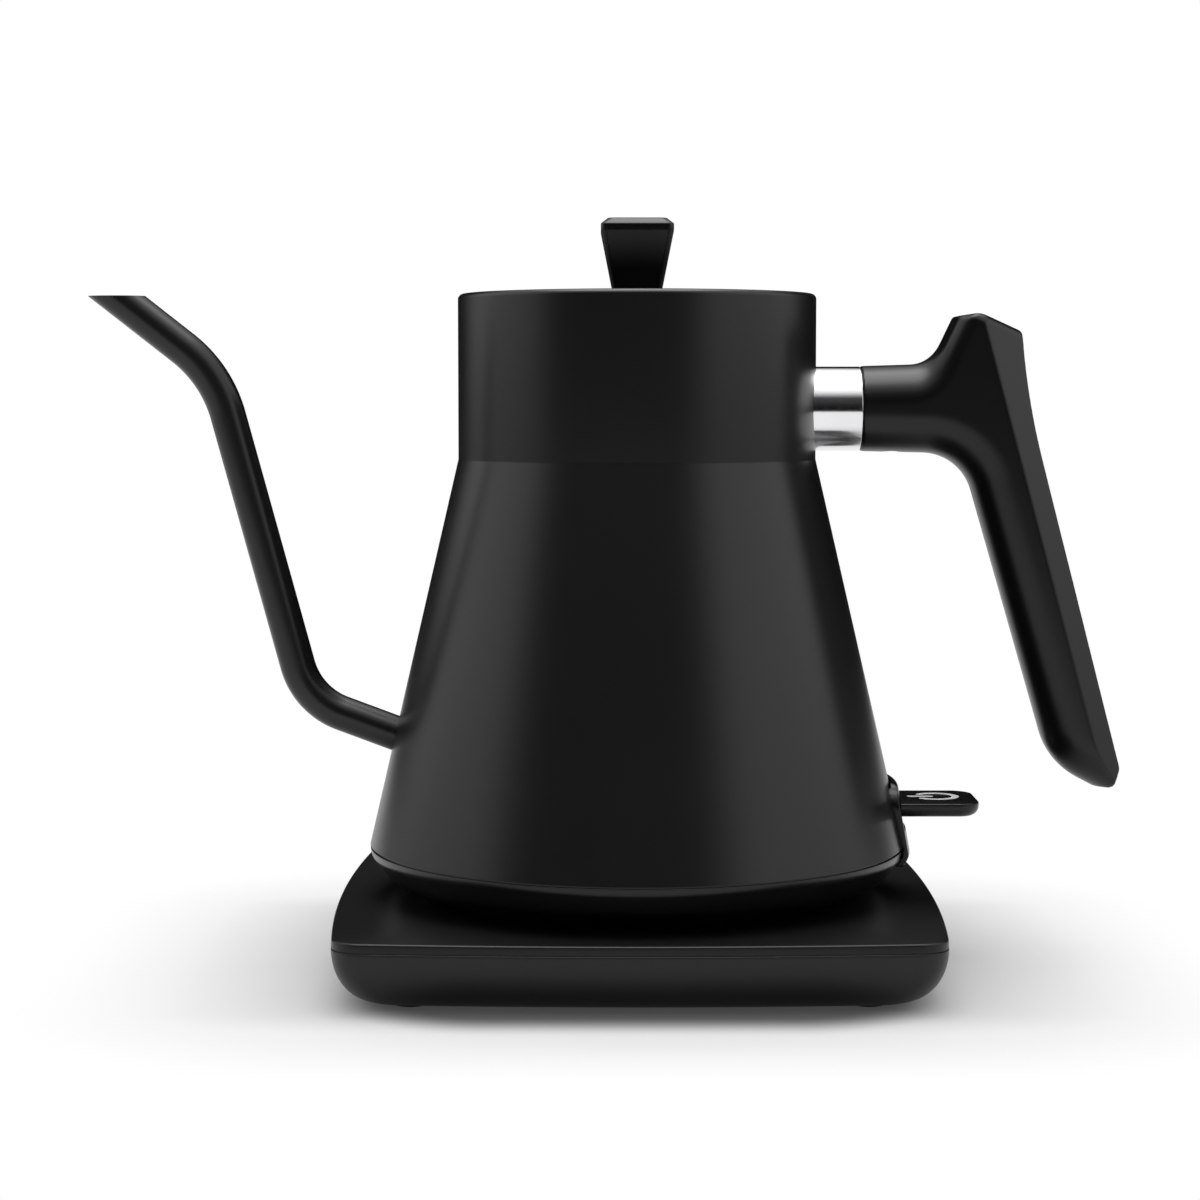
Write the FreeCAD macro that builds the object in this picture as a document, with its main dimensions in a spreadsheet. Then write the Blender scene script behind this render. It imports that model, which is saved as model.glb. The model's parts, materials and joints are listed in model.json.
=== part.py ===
import FreeCAD, Part
import math
import os
from types import SimpleNamespace

import Sketcher
from FreeCAD import Placement, Rotation, Vector

# Gooseneck electric kettle standing on its power base.
# Millimetres, +Z up. The origin is on the kettle's axis, on the table under the feet.
# The spout points to -X, the handle and the switch lever to +X.

SIZES = {
    # Steel body: a cylinder above a cone
    "top_radius": 47.5,
    "seam_radius": 71.4,
    "rim_height": 177.8,
    "shoulder_height": 134.2,
    "shoulder_round": 2.0,
    "seam_height": 31.6,
    "shell_wall": 0.8,
    "rim_round": 1.4,
    "rim_width": 1.9,
    "rim_inner_round": 0.3,
    "ledge_depth": 2.4,
    "ledge_round": 0.4,
    "mouth_radius": 42.0,
    "lip_depth": 3.0,
    # Gooseneck spout
    "spout_radius": 4.7,
    "spout_wall": 0.7,
    "spout_mouth_x": -138.2,
    "spout_mouth_z": 177.4,
    "spout_upper_x": -111.8,
    "spout_upper_z": 156.65,
    "spout_upper_bend": 34.0,
    "spout_lower_x": -88.3,
    "spout_lower_z": 69.4,
    "spout_lower_bend": 19.3,
    "spout_root_x": -55.0,
    "spout_root_z": 56.96,
    # Handle: arm, thumb rest and sloping grip, seen from the side
    "arm_height": 147.55,
    "arm_half": 11.3,
    "arm_flare": 0.6,
    "arm_start": 59.3,
    "arm_end": 78.65,
    "arm_end_round": 10.0,
    "thumb_front_x": 84.6,
    "thumb_front_z": 172.0,
    "thumb_crown_x": 90.1,
    "thumb_crown_z": 172.8,
    "thumb_crown_round": 6.0,
    "thumb_back_x": 102.3,
    "thumb_back_z": 168.1,
    "back_bend_x": 103.34,
    "back_bend_z": 149.9,
    "back_bend_round": 165.0,
    "heel_x": 129.0,
    "heel_z": 51.5,
    "toe_back_x": 126.8,
    "toe_front_x": 122.4,
    "toe_z": 46.6,
    "back_corner_round": 1.6,
    "grip_low_x": 110.6,
    "grip_low_z": 52.8,
    "grip_low_round": 20.0,
    "grip_high_x": 86.3,
    "grip_high_round": 14.0,
    "grip_core": 9.0,
    # Handle: width, bevel along the back, fixing
    "handle_half": 11.1,
    "handle_round": 10.4,
    "thumb_round": 5.0,
    "thumb_edge_round": 3.0,
    "thumb_edge_reach": 32.0,
    "facet_top_x": 91.8,
    "facet_top_z": 167.6,
    "facet_low_x": 123.7,
    "facet_low_z": 49.9,
    "facet_run": 6.1,
    "facet_rise": 5.5,
    "facet_reach": 200.0,
    "collar_radius": 11.15,
    "stud_radius": 4.0,
    "stud_end": 82.0,
    "stud_gap": 1.0,
    "set_screw_x": 68.0,
    "set_screw_radius": 2.0,
    "set_screw_sink": 0.8,
    # Lid
    "lid_radius": 45.3,
    "lid_thickness": 2.2,
    "lid_round": 0.6,
    "plug_radius": 40.6,
    "plug_depth": 9.4,
    "plug_round": 1.5,
    "seal_radius": 41.7,
    "seal_rise": 2.0,
    "seal_step": 0.6,
    "seal_groove": 0.5,
    "knob_base_half": 6.35,
    "knob_half": 9.6,
    "knob_top_half": 7.7,
    "knob_shoulder": 194.2,
    "knob_band": 196.2,
    "knob_top": 197.65,
    "knob_corner": 1.5,
    "knob_screw_radius": 2.0,
    "knob_screw_reach": 10.0,
    # Bottom cover
    "seam_round": 0.3,
    "cover_turn_radius": 71.3,
    "cover_turn_height": 29.4,
    "cover_turn_round": 2.0,
    "cover_heel_radius": 65.6,
    "cover_heel_height": 21.6,
    "cover_heel_round": 9.0,
    "cover_bottom": 20.0,
    "cover_wall": 2.0,
    "cover_hole": 20.0,
    "cover_lip": 2.0,
    "cover_lip_wall": 1.4,
    "cover_lip_gap": 0.2,
    "seat_radius": 47.0,
    "seat_width": 3.0,
    "seat_drop": 1.2,
    "cover_screw_circle": 56.0,
    "bracket_height": 34.0,
    "bracket_thickness": 1.2,
    "bracket_half": 6.0,
    # Screws
    "screw_radius": 1.5,
    "head_ratio": 1.9,
    "sink_ratio": 2.0,
    "head_height": 2.2,
    "head_inset": 0.6,
    "post_wall": 2.5,
    "thread_depth": 1.6,
    "tip_gap": 0.2,
    # Heater and control
    "floor_height": 52.5,
    "floor_flange": 5.5,
    "floor_round": 1.0,
    "weld_gap": 0.1,
    "sheet_thickness": 0.8,
    "spreader_radius": 54.0,
    "spreader_thickness": 3.0,
    "element_circle": 44.0,
    "element_radius": 3.3,
    "element_sweep": 300.0,
    "terminal_radius": 1.6,
    "terminal_low": 36.0,
    "terminal_gap": 0.05,
    "control_radius": 24.0,
    "control_low": 35.2,
    "control_high": 43.2,
    "control_post_circle": 18.5,
    "control_post_radius": 3.6,
    "control_arm_low": 41.8,
    "control_arm_half": 7.0,
    "disc_radius": 6.5,
    "disc_offset": 12.5,
    "disc_rise": 0.5,
    "disc_thickness": 0.4,
    "disc_room": 1.4,
    "steam_tube_x": 34.0,
    "steam_tube_radius": 3.5,
    "steam_tube_wall": 0.5,
    "steam_tube_low": 46.0,
    "steam_tube_high": 160.0,
    "blade_offset": 6.0,
    "blade_half": 1.5,
    "blade_low": 38.0,
    "blade_end": 48.5,
    "blade_thickness": 0.4,
    # Switch
    "pivot_x": 58.0,
    "pivot_z": 41.5,
    "pin_radius": 1.5,
    "pin_clearance": 0.05,
    "barrel_radius": 3.0,
    "lever_half": 12.7,
    "lever_tip": 91.2,
    "lever_start": 69.9,
    "lever_top": 43.2,
    "lever_thickness": 3.7,
    "lever_corner": 6.0,
    "lever_under_round": 1.5,
    "lever_top_round": 0.35,
    "lever_tail": 7.0,
    "lever_lap": 0.5,
    "neck_half": 9.3,
    "ear_inside": 9.6,
    "ear_thickness": 1.6,
    "ear_half": 3.2,
    "ear_root": 2.4,
    "window_below": 5.3,
    "slot_gap": 0.4,
    "bezel_half": 14.4,
    "bezel_low": 26.7,
    "bezel_high": 48.3,
    "bezel_gap": 0.3,
    "bezel_rise": 2.0,
    "bezel_top_round": 1.7,
    "bezel_mid_radius": 73.3,
    "bezel_mid_height": 29.4,
    "bezel_mid_round": 2.5,
    "bezel_low_radius": 71.9,
    "bezel_low_round": 0.8,
    "bezel_back_radius": 69.8,
    "bezel_arch": 7.0,
    "bezel_span": 26.0,
    "spring_x": 47.2,
    "spring_curl": 2.8,
    "spring_thickness": 0.4,
    "spring_half": 5.0,
    "spring_sweep": 230.0,
    # Cordless connector
    "boss_radius": 17.0,
    "boss_top": 30.0,
    "boss_round": 1.0,
    "flange_width": 9.0,
    "flange_thickness": 3.0,
    "flange_gap": 0.4,
    "socket_floor": 14.0,
    "socket_skin": 2.0,
    "pin_hole": 3.3,
    "neutral_slot": 6.5,
    "earth_slot": 11.5,
    "slot_width": 3.2,
    "live_height": 8.0,
    "neutral_height": 6.5,
    "earth_height": 5.5,
    "contact_side": 0.1,
    "contact_gap": 1.5,
    "contact_pin_radius": 2.4,
    "contact_wall": 1.4,
    "contact_root": 1.0,
    "bell_radius": 19.4,
    "bell_gap": 0.4,
    "bell_low": 20.2,
    "bell_top": 34.6,
    "bell_roof": 2.6,
    "bell_round": 0.4,
    "bell_flange": 3.0,
    "bell_play": 0.5,
    # Power base
    "base_half": 78.95,
    "bow_radius": 762.0,
    "base_corner": 8.5,
    "base_top": 18.5,
    "base_top_round": 0.6,
    "base_top_inset": 0.1,
    "base_top_skin": 1.0,
    "base_seam": 16.0,
    "base_seam_round": 0.25,
    "base_bottom": 1.2,
    "base_wall": 2.2,
    "base_tuck": 12.0,
    "foot_radius": 4.5,
    "foot_x": 57.0,
    "foot_y": 58.0,
    "foot_sink": 0.8,
    "base_screw_spot": 45.0,
    "gland_height": 8.8,
    "gland_radius": 5.0,
    "gland_bore": 3.3,
    "gland_round": 0.5,
    "gland_inner_end": 68.0,
    "gland_outer_end": 78.6,
}

COVER_SCREW_ANGLES = (60, 180, 300)
THUMB_EDGE_SLOPES = 2
CONTROL_SCREW_ANGLES = (90, 210, 330)
BOIL_DISC_ANGLES = (150, 270)
TRAY_SECTION_ANGLES = (0, 24, 46, 66, 80, 90)

doc = FreeCAD.newDocument("kettle")
sheet = doc.addObject("Spreadsheet::Sheet", "sizes")
pieces = []


class Size:
    """A size with the cell formula that gives it."""

    def __init__(self, value, formula):
        self.value = value
        self.formula = formula

    def __add__(self, other):
        other = as_size(other)
        return Size(self.value + other.value, f"({self.formula} + {other.formula})")

    def __sub__(self, other):
        other = as_size(other)
        return Size(self.value - other.value, f"({self.formula} - {other.formula})")

    def __mul__(self, other):
        other = as_size(other)
        return Size(self.value * other.value, f"({self.formula} * {other.formula})")

    def __truediv__(self, other):
        other = as_size(other)
        return Size(self.value / other.value, f"({self.formula} / {other.formula})")

    def __neg__(self):
        return Size(-self.value, f"(-1 * {self.formula})")

    def __radd__(self, other):
        return as_size(other) + self

    def __rsub__(self, other):
        return as_size(other) - self

    def __rmul__(self, other):
        return as_size(other) * self


def as_size(number):
    """A plain number as a Size."""
    if isinstance(number, Size):
        return number
    return Size(number, f"({number:.6f})")


def fill_sheet():
    """Writes the driving dimensions into the sheet and returns them as Sizes."""
    found = {}
    for row, (name, value) in enumerate(SIZES.items(), start=1):
        sheet.set(f"A{row}", name)
        sheet.set(f"B{row}", str(value))
        sheet.setAlias(f"B{row}", name)
        found[name] = Size(value, f"sizes.{name}")
    doc.recompute()
    return SimpleNamespace(**found)


# Placing and binding

TURNS = {
    "Z": Rotation(),
    "X": Rotation(Vector(0, 1, 0), 90),
    "Y": Rotation(Vector(1, 0, 0), -90),
}


def about_z(degrees):
    return Rotation(Vector(0, 0, 1), degrees)


def bind(thing, **wanted):
    """Binds properties of an object to the cells."""
    for name, value in wanted.items():
        thing.setExpression(name, as_size(value).formula)


def place(thing, x=0, y=0, z=0, rotation=None):
    """Puts an object at a bound point, turned by a rotation."""
    spot = [as_size(value) for value in (x, y, z)]
    point = Vector(*(value.value for value in spot))
    thing.Placement = Placement(point, rotation or Rotation())
    for axis, value in zip("xyz", spot):
        thing.setExpression(f"Placement.Base.{axis}", value.formula)


def piece(thing, name):
    """Names a finished sub-part."""
    thing.Label = name
    pieces.append(thing)
    return thing


def near(value, target, gap=0.01):
    return abs(value - target) < gap


def around(radius, degrees):
    """A point on a circle about the Z axis."""
    angle = math.radians(degrees)
    return radius * math.cos(angle), radius * math.sin(angle)


def four_spots(x, y):
    return [(x, y), (-x, y), (-x, -y), (x, -y)]


# Sketches


def new_sketch(body, name, role, height=None):
    """A sketch on one of the body's origin planes, raised along the plane's normal."""
    sketch = body.newObject("Sketcher::SketchObject", name)
    plane = next(item for item in body.Origin.OriginFeatures if item.Role == role)
    sketch.AttachmentSupport = [(plane, "")]
    sketch.MapMode = "FlatFace"
    if height is not None:
        height = as_size(height)
        sketch.AttachmentOffset = Placement(Vector(0, 0, height.value), Rotation())
        sketch.setExpression("AttachmentOffset.Base.z", height.formula)
    return sketch


class Rules:
    """Collects a sketch's constraints with their formulas, then adds them at once."""

    def __init__(self, sketch):
        self.sketch = sketch
        self.constraints = []
        self.formulas = {}

    def add(self, *words):
        self.constraints.append(Sketcher.Constraint(*words))

    def measure(self, *words, size):
        self.formulas[len(self.constraints)] = size.formula
        self.constraints.append(Sketcher.Constraint(*words, size.value))

    def pin(self, shape, end, across, up):
        """Fixes a point of the sketch by its distances from the origin."""
        for kind, axis, size in (("DistanceX", -2, across), ("DistanceY", -1, up)):
            if size.value == 0:
                self.add("PointOnObject", shape, end, axis)
            elif size.value > 0:
                self.measure(kind, -1, 1, shape, end, size=size)
            else:
                self.measure(kind, shape, end, -1, 1, size=-size)

    def apply(self):
        first = self.sketch.ConstraintCount
        self.sketch.addConstraint(self.constraints)
        for number, formula in self.formulas.items():
            self.sketch.setExpression(f"Constraints[{first + number}]", formula)


class Corner:
    """One corner of an outline, with the points where its round begins and ends."""

    def __init__(self, across, up, radius=None):
        self.across = as_size(across)
        self.up = as_size(up)
        self.radius = None if radius is None else as_size(radius)
        self.point = Vector(self.across.value, self.up.value, 0)
        self.start = self.point
        self.end = self.point
        self.arc = None

    def round_off(self, before, after):
        back = (before - self.point).normalize()
        ahead = (after - self.point).normalize()
        half = back.getAngle(ahead) / 2
        reach = self.radius.value / math.tan(half)
        self.start = self.point + back * reach
        self.end = self.point + ahead * reach
        middle = self.point + (back + ahead).normalize() * (self.radius.value / math.sin(half))
        self.left_turn = (back.x * ahead.y - back.y * ahead.x) < 0
        first, last = (self.start, self.end) if self.left_turn else (self.end, self.start)
        circle = Part.Circle(middle, Vector(0, 0, 1), self.radius.value)
        self.arc = Part.ArcOfCircle(circle, circle.parameter(first), circle.parameter(last))


def draw(sketch, corners):
    """Draws a closed outline. A corner with a third value is rounded to that radius."""
    corners = [Corner(*corner) for corner in corners]
    rules = Rules(sketch)
    count = len(corners)
    for i, corner in enumerate(corners):
        if corner.radius is not None:
            corner.round_off(corners[i - 1].point, corners[(i + 1) % count].point)
    lines = []
    for i, corner in enumerate(corners):
        run = Part.LineSegment(corner.end, corners[(i + 1) % count].start)
        lines.append(sketch.addGeometry(run, False))
    for i, corner in enumerate(corners):
        before, after = lines[i - 1], lines[i]
        if corner.radius is None:
            rules.add("Coincident", before, 2, after, 1)
            rules.pin(after, 1, corner.across, corner.up)
            continue
        arc = sketch.addGeometry(corner.arc, False)
        tip = sketch.addGeometry(Part.Point(corner.point), True)
        first, last = (1, 2) if corner.left_turn else (2, 1)
        rules.add("Tangent", before, 2, arc, first)
        rules.add("Tangent", after, 1, arc, last)
        rules.measure("Radius", arc, size=corner.radius)
        rules.add("PointOnObject", tip, 1, before)
        rules.add("PointOnObject", tip, 1, after)
        rules.pin(tip, 1, corner.across, corner.up)
    rules.apply()


def draw_bowed_square(sketch, half, bow, corner):
    """Draws a square whose sides bow out to one large radius, with round corners."""
    shift = half - bow
    spread = 2 * (bow.value - corner.value) ** 2 - shift.value ** 2
    middle = (shift.value + math.sqrt(spread)) / 2
    turn = math.atan2(middle, middle - shift.value)
    rules = Rules(sketch)
    sides = []
    rounds = []
    for quarter in range(4):
        heading = quarter * math.pi / 2
        side_middle = Vector(math.cos(heading), math.sin(heading), 0) * shift.value
        side = Part.Circle(side_middle, Vector(0, 0, 1), bow.value)
        sides.append(sketch.addGeometry(Part.ArcOfCircle(side, heading - turn, heading + turn)))
        diagonal = heading + math.pi / 4
        round_middle = Vector(math.cos(diagonal), math.sin(diagonal), 0) * middle * math.sqrt(2)
        small = Part.Circle(round_middle, Vector(0, 0, 1), corner.value)
        arc = Part.ArcOfCircle(small, heading + turn, heading + math.pi / 2 - turn)
        rounds.append(sketch.addGeometry(arc))
    nothing = as_size(0)
    spots = [(shift, nothing), (nothing, shift), (-shift, nothing), (nothing, -shift)]
    for quarter in range(4):
        rules.measure("Radius", sides[quarter], size=bow)
        rules.measure("Radius", rounds[quarter], size=corner)
        rules.pin(sides[quarter], 3, *spots[quarter])
        rules.add("Tangent", sides[quarter], 2, rounds[quarter], 1)
        rules.add("Tangent", rounds[quarter], 2, sides[(quarter + 1) % 4], 1)
    rules.apply()


# Ways of making a solid


def new_body(name):
    return doc.addObject("PartDesign::Body", name)


def turned(name, corners, angle=360):
    """A body turned about the Z axis from a profile of radius and height."""
    body = new_body(name)
    sketch = new_sketch(body, name + "_profile", "XZ_Plane")
    draw(sketch, corners)
    turn = body.newObject("PartDesign::Revolution", name + "_turn")
    turn.Profile = sketch
    turn.ReferenceAxis = (sketch, ["V_Axis"])
    bind(turn, Angle=angle)
    return body


def ring(name, inside, outside, low, high):
    """A plain ring about the Z axis."""
    return turned(name, [(inside, low), (outside, low), (outside, high), (inside, high)])


def raised(body, sketch, name, length):
    """A sketch raised along its normal."""
    pad = body.newObject("PartDesign::Pad", name)
    pad.Profile = sketch
    bind(pad, Length=length)
    return pad


def padded(name, corners, low, high, role="XY_Plane"):
    """A body raised from an outline between two heights along the plane's normal."""
    body = new_body(name)
    sketch = new_sketch(body, name + "_outline", role, low)
    draw(sketch, corners)
    raised(body, sketch, name + "_pad", high - low)
    return body


def lofted(body, name, sketches, kind="AdditiveLoft", ruled=False):
    """A loft through sketches of the body."""
    loft = body.newObject(f"PartDesign::{kind}", name)
    loft.Profile = sketches[0]
    loft.Sections = sketches[1:]
    loft.Ruled = ruled
    return loft


def soften(body, name, radius, wanted):
    """Rounds the edges of a body that a test picks."""
    doc.recompute()
    base = body.Tip
    edges = [f"Edge{i}" for i, edge in enumerate(base.Shape.Edges, start=1) if wanted(edge)]
    fillet = body.newObject("PartDesign::Fillet", name)
    fillet.Base = (base, edges)
    bind(fillet, Radius=radius)


def eased(name, base, wanted, radii):
    """Rounds the edges that a test picks, each from one radius to another."""
    doc.recompute()
    thing = doc.addObject("Part::Fillet", name)
    thing.Base = base
    edges = enumerate(base.Shape.Edges, start=1)
    thing.Edges = [(number, *radii(edge)) for number, edge in edges if wanted(edge)]
    return thing


def rod(name, radius, length, x=0, y=0, z=0, axis="Z"):
    """A round rod that starts at a point and runs along an axis."""
    thing = doc.addObject("Part::Cylinder", name)
    bind(thing, Radius=radius, Height=length)
    place(thing, x, y, z, TURNS[axis])
    return thing


def block(name, low, high):
    """A block between two corners."""
    thing = doc.addObject("Part::Box", name)
    sides = [as_size(end) - as_size(start) for start, end in zip(low, high)]
    bind(thing, Length=sides[0], Width=sides[1], Height=sides[2])
    place(thing, *low)
    return thing


def fused(name, *things):
    thing = doc.addObject("Part::MultiFuse", name)
    thing.Shapes = list(things)
    return thing


def grouped(name, *things):
    """Like pieces kept as separate solids under one name."""
    thing = doc.addObject("Part::Compound", name)
    thing.Links = list(things)
    return thing


def cut(name, base, *tools):
    thing = doc.addObject("Part::Cut", name)
    thing.Base = base
    thing.Tool = tools[0] if len(tools) == 1 else fused(name + "_tools", *tools)
    return thing


def shared(name, base, tool):
    """The space that two solids have in common."""
    thing = doc.addObject("Part::Common", name)
    thing.Base = base
    thing.Tool = tool
    return thing


# Screws stand head down


def screw(name, low, high, x, y, radius):
    head = rod(name + "_head", radius * dim.head_ratio, dim.head_height, x, y, low)
    shank = rod(name + "_shank", radius, high - low, x, y, low)
    return fused(name, head, shank)


def screw_post(name, low, high, x, y):
    return rod(name, dim.screw_radius + dim.post_wall, high - low, x, y, low)


def screw_holes(name, face, x, y):
    """A through hole, and the recess in a face below for the head."""
    through = rod(name + "_through", dim.screw_radius, dim.rim_height, x, y)
    sink_low = face - dim.head_height
    sink_long = dim.head_height * 2 + dim.head_inset
    sink = rod(name + "_sink", dim.screw_radius * dim.sink_ratio, sink_long, x, y, sink_low)
    return [through, sink]


dim = fill_sheet()
cone_run = (dim.seam_radius - dim.top_radius) / (dim.shoulder_height - dim.seam_height)
ledge = dim.rim_height - dim.ledge_depth
inner_top = dim.top_radius - dim.shell_wall
arm_top = dim.arm_height + dim.arm_half
arm_under = dim.arm_height - dim.arm_half
foot_top = dim.base_bottom + dim.foot_sink


def wall_inside(height):
    """Inner radius of the cone at a height."""
    return inner_top + cone_run * (dim.shoulder_height - height)


def cone_space():
    """The space inside the body's cone."""
    return turned(
        "cone_space",
        [
            (0, dim.seam_height),
            (wall_inside(dim.seam_height), dim.seam_height),
            (inner_top, dim.shoulder_height),
            (0, dim.shoulder_height),
        ],
    )


# Power base


def base_section(body, name, height, inset):
    sketch = new_sketch(body, name, "XY_Plane", height)
    draw_bowed_square(sketch, dim.base_half - inset, dim.bow_radius, dim.base_corner)
    return sketch


def base_tray(body, name, floor, inset, kind):
    """Lofts the tray's rounded side, a quarter ellipse from the seam to the floor."""
    drop = dim.base_seam - floor
    sections = []
    for number, degrees in enumerate(TRAY_SECTION_ANGLES):
        angle = math.radians(degrees)
        height = dim.base_seam - drop * math.sin(angle)
        tuck = inset + dim.base_tuck * (1 - math.cos(angle))
        sections.append(base_section(body, f"{name}_section_{number}", height, tuck))
    return lofted(body, name, sections, kind)


def build_base_housing():
    """The tray under the top plate, with screw posts, foot seats and the gland's hole."""
    tray = new_body("housing_tray")
    base_tray(tray, "housing_outside", dim.base_bottom, as_size(0), "AdditiveLoft")
    base_tray(tray, "housing_inside", dim.base_bottom + dim.base_wall, dim.base_wall, "SubtractiveLoft")
    floor = dim.base_bottom + dim.base_wall / 2
    posts, holes = [], []
    for number, (x, y) in enumerate(four_spots(dim.base_screw_spot, dim.base_screw_spot)):
        posts.append(screw_post(f"housing_post_{number}", floor, dim.base_seam, x, y))
        holes += screw_holes(f"housing_hole_{number}", dim.base_bottom, x, y)
    for number, (x, y) in enumerate(four_spots(dim.foot_x, dim.foot_y)):
        holes.append(rod(f"housing_foot_{number}", dim.foot_radius, foot_top, x, y))
    start = dim.gland_inner_end
    reach = dim.base_half + dim.base_wall - start
    holes.append(rod("housing_gland_hole", dim.gland_radius, reach, 0, start, dim.gland_height, "Y"))
    piece(cut("housing", fused("housing_solid", tray, *posts), *holes), "base_housing")


def build_base_top_plate():
    plate = new_body("top_plate")
    outline = base_section(plate, "top_plate_outline", dim.base_seam, dim.base_top_inset)
    raised(plate, outline, "top_plate_pad", dim.base_top - dim.base_seam)
    soften(
        plate, "top_plate_edge", dim.base_top_round,
        lambda edge: near(edge.BoundBox.ZMin, dim.base_top.value),
    )
    soften(
        plate, "top_plate_seam", dim.base_seam_round,
        lambda edge: near(edge.BoundBox.ZMax, dim.base_seam.value),
    )
    holes = [rod("top_plate_mouth", dim.boss_radius + dim.bell_gap, dim.base_top * 2)]
    thread_top = dim.base_top - dim.base_top_skin
    for number, (x, y) in enumerate(four_spots(dim.base_screw_spot, dim.base_screw_spot)):
        holes.append(rod(f"top_plate_hole_{number}", dim.screw_radius, thread_top, x, y))
    piece(cut("top_plate_cut", plate, *holes), "base_top_plate")


def build_base_fittings():
    """Feet, screws and the cord's gland."""
    feet, screws = [], []
    for number, (x, y) in enumerate(four_spots(dim.foot_x, dim.foot_y)):
        feet.append(rod(f"foot_{number}", dim.foot_radius, foot_top, x, y))
    piece(grouped("feet", *feet), "base_feet")
    low = dim.base_bottom + dim.head_inset
    high = dim.base_top - dim.base_top_skin - dim.tip_gap
    for number, (x, y) in enumerate(four_spots(dim.base_screw_spot, dim.base_screw_spot)):
        screws.append(screw(f"base_screw_{number}", low, high, x, y, dim.screw_radius))
    piece(grouped("base_screw_set", *screws), "base_screws")
    long = dim.gland_outer_end - dim.gland_inner_end
    profile = [
        (dim.gland_bore, 0, dim.gland_round),
        (dim.gland_radius, 0),
        (dim.gland_radius, long),
        (dim.gland_bore, long, dim.gland_round),
    ]
    gland = turned("gland", profile)
    place(gland, 0, dim.gland_inner_end, dim.gland_height, TURNS["Y"])
    piece(gland, "cord_gland")


def build_base_connector():
    """The round socket on the base, with a hole and two ring slots for the contacts."""
    low = dim.socket_floor - dim.socket_skin * 2
    pin_floor = low + dim.socket_skin
    flange_top = dim.base_seam - dim.flange_gap
    flange_low = flange_top - dim.flange_thickness
    flange_edge = dim.boss_radius + dim.flange_width
    profile = [(0, low), (0, pin_floor), (dim.pin_hole, pin_floor), (dim.pin_hole, dim.boss_top)]
    for slot in (dim.neutral_slot, dim.earth_slot):
        far = slot + dim.slot_width
        profile += [(slot, dim.boss_top), (slot, dim.socket_floor)]
        profile += [(far, dim.socket_floor), (far, dim.boss_top)]
    profile += [
        (dim.boss_radius, dim.boss_top, dim.boss_round),
        (dim.boss_radius, flange_top),
        (flange_edge, flange_top),
        (flange_edge, flange_low),
        (dim.boss_radius, flange_low),
        (dim.boss_radius, low),
    ]
    piece(turned("socket", profile), "base_connector")
    side = dim.contact_side
    piece(rod("live", dim.pin_hole - side, dim.live_height, z=pin_floor), "live_contact")
    floor = dim.socket_floor
    for name, slot, height in (
        ("neutral", dim.neutral_slot, dim.neutral_height),
        ("earth", dim.earth_slot, dim.earth_height),
    ):
        contact = ring(name, slot + side, slot + dim.slot_width - side, floor, floor + height)
        piece(contact, name + "_contact")


# Kettle side of the cordless connector


def build_kettle_connector():
    """The bell over the base's socket, with a pin and two rings in its roof."""
    inside = dim.boss_radius + dim.bell_gap
    roof = dim.bell_top - dim.bell_roof
    flange_low = dim.cover_bottom + dim.cover_wall + dim.bell_play
    flange_top = flange_low + dim.cover_wall
    flange_edge = dim.bell_radius + dim.bell_flange
    profile = [
        (0, roof),
        (inside, roof),
        (inside, dim.bell_low, dim.bell_round),
        (dim.bell_radius, dim.bell_low, dim.bell_round),
        (dim.bell_radius, flange_low),
        (flange_edge, flange_low),
        (flange_edge, flange_top),
        (dim.bell_radius, flange_top),
        (dim.bell_radius, dim.bell_top),
        (0, dim.bell_top),
    ]
    bell = turned("bell", profile)
    top = dim.bell_top - dim.contact_root
    pin_low = dim.socket_floor - dim.socket_skin + dim.live_height + dim.contact_gap
    pin = rod("live_pin", dim.contact_pin_radius, top - pin_low, z=pin_low)
    rings = []
    for name, slot, height in (
        ("neutral_ring", dim.neutral_slot, dim.neutral_height),
        ("earth_ring", dim.earth_slot, dim.earth_height),
    ):
        inner = slot + (dim.slot_width - dim.contact_wall) / 2
        low = dim.socket_floor + height + dim.contact_gap
        rings.append(ring(name, inner, inner + dim.contact_wall, low, top))
    piece(cut("bell_cut", bell, pin, *rings), "kettle_connector")
    piece(pin, "connector_pin")
    piece(rings[0], "connector_neutral_ring")
    piece(rings[1], "connector_earth_ring")


# Kettle body


def build_body_shell():
    """The steel wall with its hemmed rim and the ledge that carries the lid."""
    inner_rim = dim.top_radius - dim.rim_width
    under = ledge - dim.shell_wall
    lip_low = ledge - dim.lip_depth
    lip_outside = dim.mouth_radius + dim.shell_wall
    profile = [
        (dim.seam_radius, dim.seam_height),
        (dim.top_radius, dim.shoulder_height, dim.shoulder_round),
        (dim.top_radius, dim.rim_height, dim.rim_round),
        (inner_rim, dim.rim_height, dim.rim_inner_round),
        (inner_rim, ledge),
        (dim.mouth_radius, ledge, dim.ledge_round),
        (dim.mouth_radius, lip_low),
        (lip_outside, lip_low),
        (lip_outside, under),
        (inner_top, under),
        (inner_top, dim.shoulder_height, dim.shoulder_round),
        (wall_inside(dim.seam_height), dim.seam_height),
    ]
    wall = turned("shell_wall_turned", profile)
    slot_half = dim.ear_inside + dim.ear_thickness + dim.slot_gap
    slot = block(
        "shell_switch_slot",
        (dim.pivot_x, -slot_half, dim.pivot_z - dim.window_below - dim.ear_root - dim.slot_gap),
        (dim.bezel_mid_radius, slot_half, dim.pivot_z + dim.ear_half + dim.slot_gap),
    )
    piece(cut("shell", wall, slot, spout_hole()), "body_shell")


def spout_points():
    names = ("mouth", "upper", "lower", "root")
    spots = [(getattr(dim, f"spout_{name}_x"), getattr(dim, f"spout_{name}_z")) for name in names]
    return [Vector(x.value, 0, z.value) for x, z in spots]


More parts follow.
